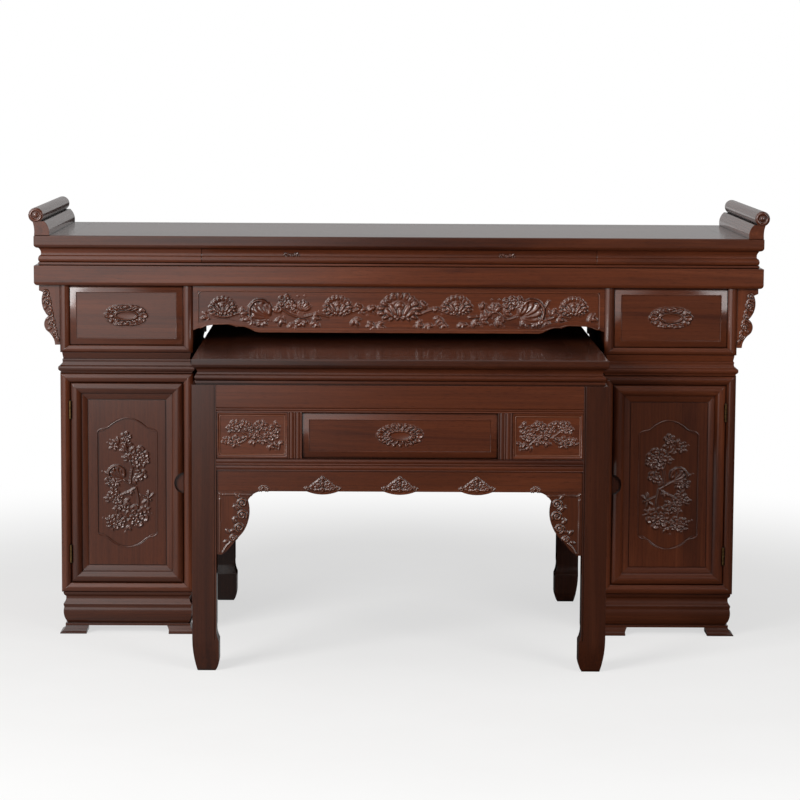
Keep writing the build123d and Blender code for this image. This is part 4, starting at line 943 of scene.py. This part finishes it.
class ALTAR_OT_pulls(bpy.types.Operator):
    """Carve the oval pulls of the drawers"""

    bl_idname = "altar.pulls"
    bl_label = "Carved pulls"

    def oval(self, rays):
        """An oval pull: a ring of leaves or rays round a finger cup."""
        r = Relief(62, 33, 0.7)
        rise = 6.2
        r.boss(0, 0, 55, 27, 0.32 * rise)
        if rays:
            r.ring(0, 0, 40, 19, 22, 15, 8.5, 0.8 * rise, "oval")
            for side in (-1, 1):
                for turn, length, width in ((58, 20, 11), (122, 20, 11), (90, 24, 16)):
                    z = 7 * math.cos(math.radians(turn))
                    r.petal(side * 36, z, side * turn, length, width, 0.95 * rise, "cup")
            r.ring(0, 0, 28, 11, 18, 14, 6.5, 0.9 * rise, "oval", 10)
        else:
            for up in (-1, 1):
                for side in (-1, 1):
                    lean = 90 - 90 * up
                    for x, z, turn, length, width in (
                        (24, 13, 62, 22, 14), (12, 17, 76, 26, 15), (-3, 20, 84, 28, 14),
                    ):
                        r.petal(side * x, up * z, side * abs(turn - lean), length, width, 0.9 * rise, "leaf")
                r.petal(-9, up * 23, 90, 18, 10, 0.95 * rise)
            for side in (-1, 1):
                for up in (-1, 1):
                    r.boss(side * 42, up * 12, 10, 10, 0.7 * rise)
                    r.curl(side * 43, up * 12, 8.5, 1.1, 4.2, rise, 90 - 90 * up, side * up)
                r.petal(side * 33, 0, side * 90, 26, 17, rise, "cup")
        part, u, v = r.window(0, 0, 64)
        q = np.hypot(u / 27, v / 10.5)
        rim = np.exp(-((q - 1.10) / 0.13) ** 2)
        part[:] = np.where(q < 1.0, 0.10 * rise + 0.1 * rise * q ** 2, np.maximum(part, 0.95 * rise * rim))
        part[np.hypot(u / 58.5, v / 29.5) > 1] = 0
        return r

    def execute(self, context):
        for node, rays in (("left_drawer_pull", False), ("right_drawer_pull", False), ("table_drawer_pull", True)):
            centre, seat = middle(node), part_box(node)[1].y
            settled(self.oval(rays).build(node + "_carved", (centre.x, seat, centre.z), node,
                                          mirrored="right" in node, tuck=0.0), node)
        bow = Relief(23.8, 9.8, 0.5)
        for side in (-1, 1):
            bow.petal(side * 3, 2, side * 62, 20, 9, 3.6, "cup")
            bow.petal(side * 3, -2, side * 112, 19, 8, 3.4, "cup")
            bow.curl(side * 16, 1, 5, 1.0, 2.6, 4.0, 0, side)
        bow.boss(0, 0, 6, 7, 4.4)
        bow.ring(0, 0, 2, 2, 5, 5, 4, 4.8)
        seat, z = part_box("long_drawer_pulls")[1].y, middle("long_drawer_pulls").z
        pieces = []
        for points, _ in boards_in("long_drawer_pulls"):
            x = (points.min(0) + points.max(0))[0] / 2
            pieces.append(bow.build("bow", (x, seat, z), "long_drawer_pulls", tuck=0.0, margin=0))
        settled(joined(pieces, "long_drawer_pulls_carved"), "long_drawer_pulls")
        return {"FINISHED"}


# ---------------------------------------------------------------- pieces that follow a path
def geometry_tree(name, sockets):
    """A Geometry Nodes tree with named inputs for sizes and material."""
    tree = bpy.data.node_groups.new(name, "GeometryNodeTree")
    tree.interface.new_socket("Geometry", in_out="INPUT", socket_type="NodeSocketGeometry")
    tree.interface.new_socket("Geometry", in_out="OUTPUT", socket_type="NodeSocketGeometry")
    for label, kind in sockets.items():
        tree.interface.new_socket(label, in_out="INPUT", socket_type=kind)
    return tree, add(tree, "NodeGroupInput")


def finish_tree(tree, geometry, material):
    """Ends a tree in real geometry with its material."""
    real = add(tree, "GeometryNodeRealizeInstances", {"Geometry": geometry})
    dressed = add(tree, "GeometryNodeSetMaterial", {"Geometry": real, "Material": material})
    add(tree, "NodeGroupOutput", {0: dressed})


def shaped_by(thing, tree, **values):
    """Runs a tree on an object with these inputs, and leaves the plain mesh."""
    modifier = thing.modifiers.new(tree.name, "NODES")
    modifier.node_group = tree
    for item in tree.interface.items_tree:
        if item.in_out == "INPUT" and item.name in values:
            modifier[item.identifier] = values[item.name]
    return made_plain(thing)


def bead_tree():
    """A half-sunk round bead along a path."""
    tree, given = geometry_tree("Bead_along_path", {
        "Radius": "NodeSocketFloat", "Sides": "NodeSocketInt", "Material": "NodeSocketMaterial"})
    path = add(tree, "GeometryNodeMeshToCurve", {"Mesh": given.outputs["Geometry"]})
    section = add(tree, "GeometryNodeCurvePrimitiveCircle", {
        "Resolution": given.outputs["Sides"], "Radius": given.outputs["Radius"]})
    swept = add(tree, "GeometryNodeCurveToMesh", {"Curve": path, "Profile Curve": section})
    finish_tree(tree, swept, given.outputs["Material"])
    return tree


def rounded_path(corners, radius, steps=5):
    """A closed path through corners, each rounded where its radius is above 0."""
    path = []
    n = len(corners)
    for k in range(n):
        before, here, after = (np.array(corners[(k + d) % n], float) for d in (-1, 0, 1))
        a, b = before - here, after - here
        reach = min(radius, 0.45 * np.hypot(*a), 0.45 * np.hypot(*b))
        start, end = here + a / np.hypot(*a) * reach, here + b / np.hypot(*b) * reach
        for t in np.linspace(0, 1, steps):
            path.append((1 - t) ** 2 * start + 2 * t * (1 - t) * here + t ** 2 * end)
    return path


class ALTAR_OT_beads(bpy.types.Operator):
    """Run the fine border beads round the carved fields"""

    bl_idname = "altar.beads"
    bl_label = "Border beads"

    def execute(self, context):
        radius = context.scene.altar_carving.bead_radius
        tree = bead_tree()
        wood = bpy.data.materials["Carved_rosewood"]
        # the frieze's bead: round the sunk ground, arched over both cusps
        arch = [(541, 833), (515, 846), (452, 848), (436, 842), (416, 842), (392, 833)]
        outline = [(-541, 936), *[(-x, z) for x, z in arch], *reversed(arch), (541, 936)]
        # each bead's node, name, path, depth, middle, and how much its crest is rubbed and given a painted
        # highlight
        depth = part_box("frieze")[0].y + 0.0012
        jobs = [("frieze", "Frieze_bead", rounded_path(outline, 12), depth, (0, 0), 0.6)]
        for node in ("left_door_panel", "right_door_panel"):
            centre, front = middle(node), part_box(node)[0].y
            w, h, shoulder = 81.0, 177.0, 28.0
            bulge = [(w - shoulder - 53 * t, h - 25 + 25 * math.sin(math.pi / 2 * t)) for t in (0.25, 0.5, 0.75)]
            half = [(w, h - 37), (w - 10, h - 30), (w - shoulder, h - 27), *bulge]
            top = [*half, (0, h), *[(-x, z) for x, z in reversed(half)]]
            ring = [*top, *[(x, -z) for x, z in reversed(top)]]
            jobs.append((node, node + "_bead", rounded_path(ring, 5, 3), front + 0.0002,
                         (centre.x / MM, centre.z / MM), 0.1))
        for number, (points, _) in enumerate(boards_in("table_front_panels")):
            low_p, high_p = points.min(0) / MM, points.max(0) / MM
            x, z = (low_p[0] + high_p[0]) / 2, (low_p[2] + high_p[2]) / 2
            w, h = (high_p[0] - low_p[0]) / 2 - 9, (high_p[2] - low_p[2]) / 2 - 9
            ring = [(-w, h), (-w, -h), (w, -h), (w, h)]
            jobs.append(("table_front_panels", f"Table_panel_bead_{number}", rounded_path(ring, 3, 3),
                         low_p[1] * MM + 0.0038, (x, z), 0.9))
        for node, name, path, y, (cx, cz), rubbed_and_highlit in jobs:
            points = [((cx + x) * MM, y, (cz + z) * MM) for x, z in path]
            edges = [(k, (k + 1) % len(points)) for k in range(len(points))]
            thing = mesh_object(name, points, [], [], edges)
            shaped_by(thing, tree, Radius=radius, Sides=10, Material=wood)
            board, _ = boards_in(node)[0]
            store_grain(thing.data, *grain_of(node, 0, board))
            store(thing.data, "relief", "FLOAT", np.full(len(thing.data.vertices), rubbed_and_highlit))
            thing.data.polygons.foreach_set("use_smooth", [True] * len(thing.data.polygons))
            settled(thing, node, replaces=False)
        return {"FINISHED"}


def screw_tree():
    """Slotted screw heads on points, their axes along X, each slot at its own angle."""
    tree, given = geometry_tree("Screw_heads", {
        "Radius": "NodeSocketFloat", "Height": "NodeSocketFloat", "Slot": "NodeSocketFloat",
        "Seed": "NodeSocketInt", "Material": "NodeSocketMaterial"})
    head = add(tree, "GeometryNodeMeshCylinder", {
        "Vertices": 20, "Radius": given.outputs["Radius"], "Depth": given.outputs["Height"]})
    length = add(tree, "ShaderNodeMath", {0: given.outputs["Radius"], 1: 2.4}, operation="MULTIPLY")
    deep = add(tree, "ShaderNodeMath", {0: given.outputs["Height"], 1: 1.5}, operation="MULTIPLY")
    size = add(tree, "ShaderNodeCombineXYZ", {0: length, 1: given.outputs["Slot"], 2: deep})
    cutter = add(tree, "GeometryNodeMeshCube", {"Size": size})
    slotted = add(tree, "GeometryNodeMeshBoolean", {"Mesh 1": head, "Mesh 2": cutter})
    seated = add(tree, "GeometryNodeInstanceOnPoints", {
        "Points": given.outputs["Geometry"], "Instance": slotted, "Rotation": (0, math.pi / 2, 0)})
    spin = add(tree, "FunctionNodeRandomValue", {2: 0.0, 3: math.pi, "Seed": given.outputs["Seed"]})
    about = add(tree, "ShaderNodeCombineXYZ", {2: spin.outputs[1]})
    turned = add(tree, "GeometryNodeRotateInstances", {"Instances": seated, "Rotation": about})
    finish_tree(tree, turned, given.outputs["Material"])
    return tree


def screw_places(node):
    """Three screws down the open face of each hinge leaf of a node."""
    places = []
    for points, _ in boards_in(node):
        low, high = points.min(0), points.max(0)
        axis = (low[0] + high[0]) / 2
        leaf = points[points[:, 1] > high[1] - 0.1 * MM]
        face = min(leaf[:, 0], key=lambda x: abs(x - axis))
        middle_z = (leaf[:, 2].min() + leaf[:, 2].max()) / 2
        places += [(face, high[1] - SCREW_INSET, middle_z + step * SCREW_PITCH) for step in (-1, 0, 1)]
    return places


class ALTAR_OT_hinges(bpy.types.Operator):
    """Dress the cupboard hinges in aged brass, with slotted screws in their leaves"""

    bl_idname = "altar.hinges"
    bl_label = "Brass hinges"

    def execute(self, context):
        sizes = context.scene.altar_hinges
        brass = aged_brass(sizes)
        tree = screw_tree()
        for number, node in enumerate(n for n, slot in SLOT_OF.items() if slot == "hinge_brass"):
            eased_piece(node, brass, sizes.arris)
            screws = mesh_object(node + "_screws", screw_places(node), [], [brass])
            shaped_by(screws, tree, Radius=sizes.screw_radius, Height=sizes.screw_height, Slot=sizes.screw_slot,
                      Seed=number, Material=brass)
            settled(screws, node, replaces=False)
        return {"FINISHED"}


class ALTAR_OT_scroll_ends(bpy.types.Operator):
    """Carve the ring and boss on the front of each scroll"""

    bl_idname = "altar.scroll_ends"
    bl_label = "Scroll ends"

    def execute(self, context):
        r = Relief(19.5, 19.5, 0.5)
        part, u, v = r.window(0, 0, 20)
        ring_radius, half_width, rise = 14.2, 3.2, 2.4
        part[:] = rise * dome((np.hypot(u, v) - ring_radius) / half_width)
        r.boss(0, 0, 6.5, 6.5, 3.0)
        inset = 20 * MM
        for side, hand in SIDES:
            node = hand + "_scroll_end"
            low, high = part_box(node)
            outer = low.x if side < 0 else high.x
            r.carve(node + "_eye", (outer - side * inset, low.y, high.z - inset), node, margin=1.5)
        return {"FINISHED"}


# ---------------------------------------------------------------- stage
def ray_switches(tree):
    """Two switches: for what the camera sees itself, and for what the polish mirrors."""
    ray = add(tree, "ShaderNodeLightPath")
    seen = add(tree, "ShaderNodeMath", {
        0: ray.outputs["Is Camera Ray"], 1: ray.outputs["Is Transmission Ray"]}, operation="MAXIMUM")
    return seen, ray.outputs["Is Glossy Ray"]


class ALTAR_OT_studio(bpy.types.Operator):
    """Set the floor, the surroundings, the lamps and the camera"""

    bl_idname = "altar.studio"
    bl_label = "Studio"

    def execute(self, context):
        studio = context.scene.altar_studio
        context.scene.view_settings.view_transform = "Standard"
        self.surroundings(context, studio)
        self.ground(studio)
        self.flag()
        for name, place, target, size, power in (
            ("Key_light", (-3.4, -4.4, 2.3), (-0.1, -0.2, 0.9), 2.2, studio.key),
            ("Fill_light", (3.2, -4.8, 2.2), (0.1, -0.2, 0.9), 2.2, studio.fill),
            ("Top_light", (0.0, -0.6, 4.4), (0.0, 0.0, 0.6), 3.0, studio.top),
        ):
            lamp = bpy.data.lights.new(name, "AREA")
            lamp.shape, lamp.size, lamp.energy = "SQUARE", size, power
            thing = linked(name, lamp)
            thing.location = place
            thing.rotation_mode = "QUATERNION"
            thing.rotation_quaternion = (Vector(place) - Vector(target)).to_track_quat("Z", "Y")
        self.camera(context)
        return {"FINISHED"}

    def surroundings(self, context, studio):
        """White to the camera and a plain even light on the wood. The polish mirrors a room that is
        bright on the left and dim on the right, and the backdrop behind the set."""
        world = bpy.data.worlds.new("Plain_studio")
        context.scene.world = world
        world.use_nodes = True
        tree = world.node_tree
        tree.nodes.clear()
        seen, glossy = ray_switches(tree)
        way = add(tree, "ShaderNodeSeparateXYZ", {0: add(tree, "ShaderNodeTexCoord").outputs["Generated"]})
        room = ranged(tree, way, -0.16, 0.04, studio.lit_side, studio.dim_side,
                      interpolation_type="SMOOTHSTEP")
        behind = ranged(tree, way.outputs[1], -0.25, 0.2)
        mirrored = add(tree, "ShaderNodeMix", {0: behind, 2: room, 3: studio.backdrop})
        even = add(tree, "ShaderNodeMix", {0: glossy, 2: studio.surround, 3: mirrored})
        strength = add(tree, "ShaderNodeMix", {0: seen, 2: even, 3: 1.0})
        light = add(tree, "ShaderNodeBackground", {"Color": (1, 1, 1, 1), "Strength": strength})
        add(tree, "ShaderNodeOutputWorld", {"Surface": light})

    def ground(self, studio):
        """Pale seamless paper: matt, with the set's shadow near it, and plain white further off. To the
        polish it glows with a painted pool of light, as the room does, bright on the left and dim on the right."""
        material, tree = new_material("Seamless_paper_floor")
        place = add(tree, "ShaderNodeTexCoord").outputs["Object"]
        # faint mottle of rolled paper, patches about 300 mm across
        mottle = add(tree, "ShaderNodeTexNoise", {"Vector": place, "Scale": 3.0, "Detail": 3.0})
        paper = add(tree, "ShaderNodeBsdfDiffuse", {
            "Color": blend(tree, mottle, rgba(studio.floor), rgba("#f4f3f1"))})
        white = add(tree, "ShaderNodeEmission", {"Color": (1, 1, 1, 1), "Strength": 1.0})
        reach = add(tree, "ShaderNodeVectorMath", {0: place}, operation="LENGTH")
        # the share of plain white: most of it round the set, all of it 3 m away
        away = ranged(tree, reach.outputs["Value"], 1.3, 3.0, 0.62, 1.0, interpolation_type="SMOOTHSTEP")
        seen_floor = add(tree, "ShaderNodeMixShader", {0: away, 1: paper, 2: white})
        across = add(tree, "ShaderNodeSeparateXYZ", {0: place})
        # painted light: to the polish the floor glows as a pool of light, brightest 9 m in front, bright on the
        # left and dim on the right
        painted_floor_pool = ranged(tree, across.outputs[1], -3.5, -9.0, 0.23 * studio.lit_side, 0.72 * studio.lit_side,
                     interpolation_type="SMOOTHSTEP")
        room = ranged(tree, across, -1.5, 0.2, painted_floor_pool, 0.6 * studio.dim_side,
                      interpolation_type="SMOOTHSTEP")
        mirrored = add(tree, "ShaderNodeEmission", {"Color": (1, 1, 1, 1), "Strength": room})
        # what the floor throws back on the wood: under half, as from the dim room round it
        returned = add(tree, "ShaderNodeBsdfDiffuse", {"Color": rgba("#8f8d8a")})
        seen, glossy = ray_switches(tree)
        lighting = add(tree, "ShaderNodeMixShader", {0: glossy, 1: returned, 2: mirrored})
        shown = add(tree, "ShaderNodeMixShader", {0: seen, 1: lighting, 2: seen_floor})
        add(tree, "ShaderNodeOutputMaterial", {"Surface": shown})
        far = 60.0
        floor = mesh_object("Studio_floor", [(-far, -far, 0), (far, -far, 0), (far, far, 0), (-far, far, 0)],
                            [(0, 1, 2, 3)], [material], smooth=False)

    def flag(self):
        """A black card behind the set, lower than the altar's top, that only the polish sees: a painted
        dark reflection, so that the offering table's top, in the altar's shade, mirrors the dark and not the
        backdrop."""
        material, tree = new_material("Black_flag_cloth")
        cloth = add(tree, "ShaderNodeBsdfDiffuse", {"Color": rgba("#0a0a0a")})
        clear = add(tree, "ShaderNodeBsdfTransparent")
        ray = add(tree, "ShaderNodeLightPath")
        shown = add(tree, "ShaderNodeMixShader", {
            0: ray.outputs["Is Glossy Ray"], 1: clear, 2: cloth})
        add(tree, "ShaderNodeOutputMaterial", {"Surface": shown})
        half, back, foot, top = 0.62, 0.75, 0.02, 1.0
        corners = [(-half, back, foot), (half, back, foot), (half, back, top), (-half, back, top)]
        mesh_object("Black_flag", corners, [(0, 1, 2, 3)], [material], smooth=False)

    def camera(self, context):
        """A long lens well in front of the set, a little above it."""
        place = (-0.07295, -7.8977, 1.5437)
        pitch, yaw, roll = 0.11462677, 0.00986596, 0.00585976
        ahead = Vector((math.sin(yaw) * math.cos(pitch), math.cos(yaw) * math.cos(pitch), -math.sin(pitch)))
        right = Vector((math.cos(yaw), -math.sin(yaw), 0))
        up = right.cross(ahead)
        across = math.cos(roll) * right + math.sin(roll) * up
        upright = math.cos(roll) * up - math.sin(roll) * right
        lens = bpy.data.cameras.new("Camera")
        lens.sensor_width, lens.lens, lens.clip_end = 36.0, 130.95, 200.0
        thing = linked("Camera", lens)
        turned = Matrix((across, upright, -ahead)).transposed().to_4x4()
        thing.matrix_world = Matrix.Translation(place) @ turned
        context.scene.camera = thing


# ---------------------------------------------------------------- panel and registration
OPERATORS = (
    ALTAR_OT_boards, ALTAR_OT_frieze, ALTAR_OT_doors, ALTAR_OT_table_panels, ALTAR_OT_aprons,
    ALTAR_OT_spandrels, ALTAR_OT_pulls, ALTAR_OT_scroll_ends, ALTAR_OT_beads, ALTAR_OT_hinges, ALTAR_OT_studio,
)
SETTINGS = {
    "altar_rosewood": RosewoodFinish, "altar_inner_wood": InnerWoodFinish, "altar_carving": CarvingSizes,
    "altar_hinges": HingeSizes, "altar_studio": StudioSettings,
}


class ALTAR_PT_panel(bpy.types.Panel):
    """Sizes, colours and steps of the altar table set"""

    bl_idname = "ALTAR_PT_panel"
    bl_label = "Altar Table"
    bl_space_type = "VIEW_3D"
    bl_region_type = "UI"
    bl_category = "Altar Table"

    def draw(self, context):
        for name, kind in SETTINGS.items():
            box = self.layout.box()
            for prop in kind.__annotations__:
                box.prop(getattr(context.scene, name), prop)
        for step in OPERATORS:
            self.layout.operator(step.bl_idname)


def register():
    for kind in (*SETTINGS.values(), *OPERATORS, ALTAR_PT_panel):
        bpy.utils.register_class(kind)
    for name, kind in SETTINGS.items():
        setattr(bpy.types.Scene, name, bpy.props.PointerProperty(type=kind))


def unregister():
    for name in SETTINGS:
        delattr(bpy.types.Scene, name)
    for kind in (ALTAR_PT_panel, *reversed(OPERATORS), *reversed(SETTINGS.values())):
        bpy.utils.unregister_class(kind)


def main():
    register()
    bpy.ops.altar.boards()
    bpy.ops.altar.frieze()
    bpy.ops.altar.doors()
    bpy.ops.altar.table_panels()
    bpy.ops.altar.aprons()
    bpy.ops.altar.spandrels()
    bpy.ops.altar.pulls()
    bpy.ops.altar.scroll_ends()
    bpy.ops.altar.beads()
    bpy.ops.altar.hinges()
    bpy.ops.altar.studio()


if __name__ == "__main__":
    main()
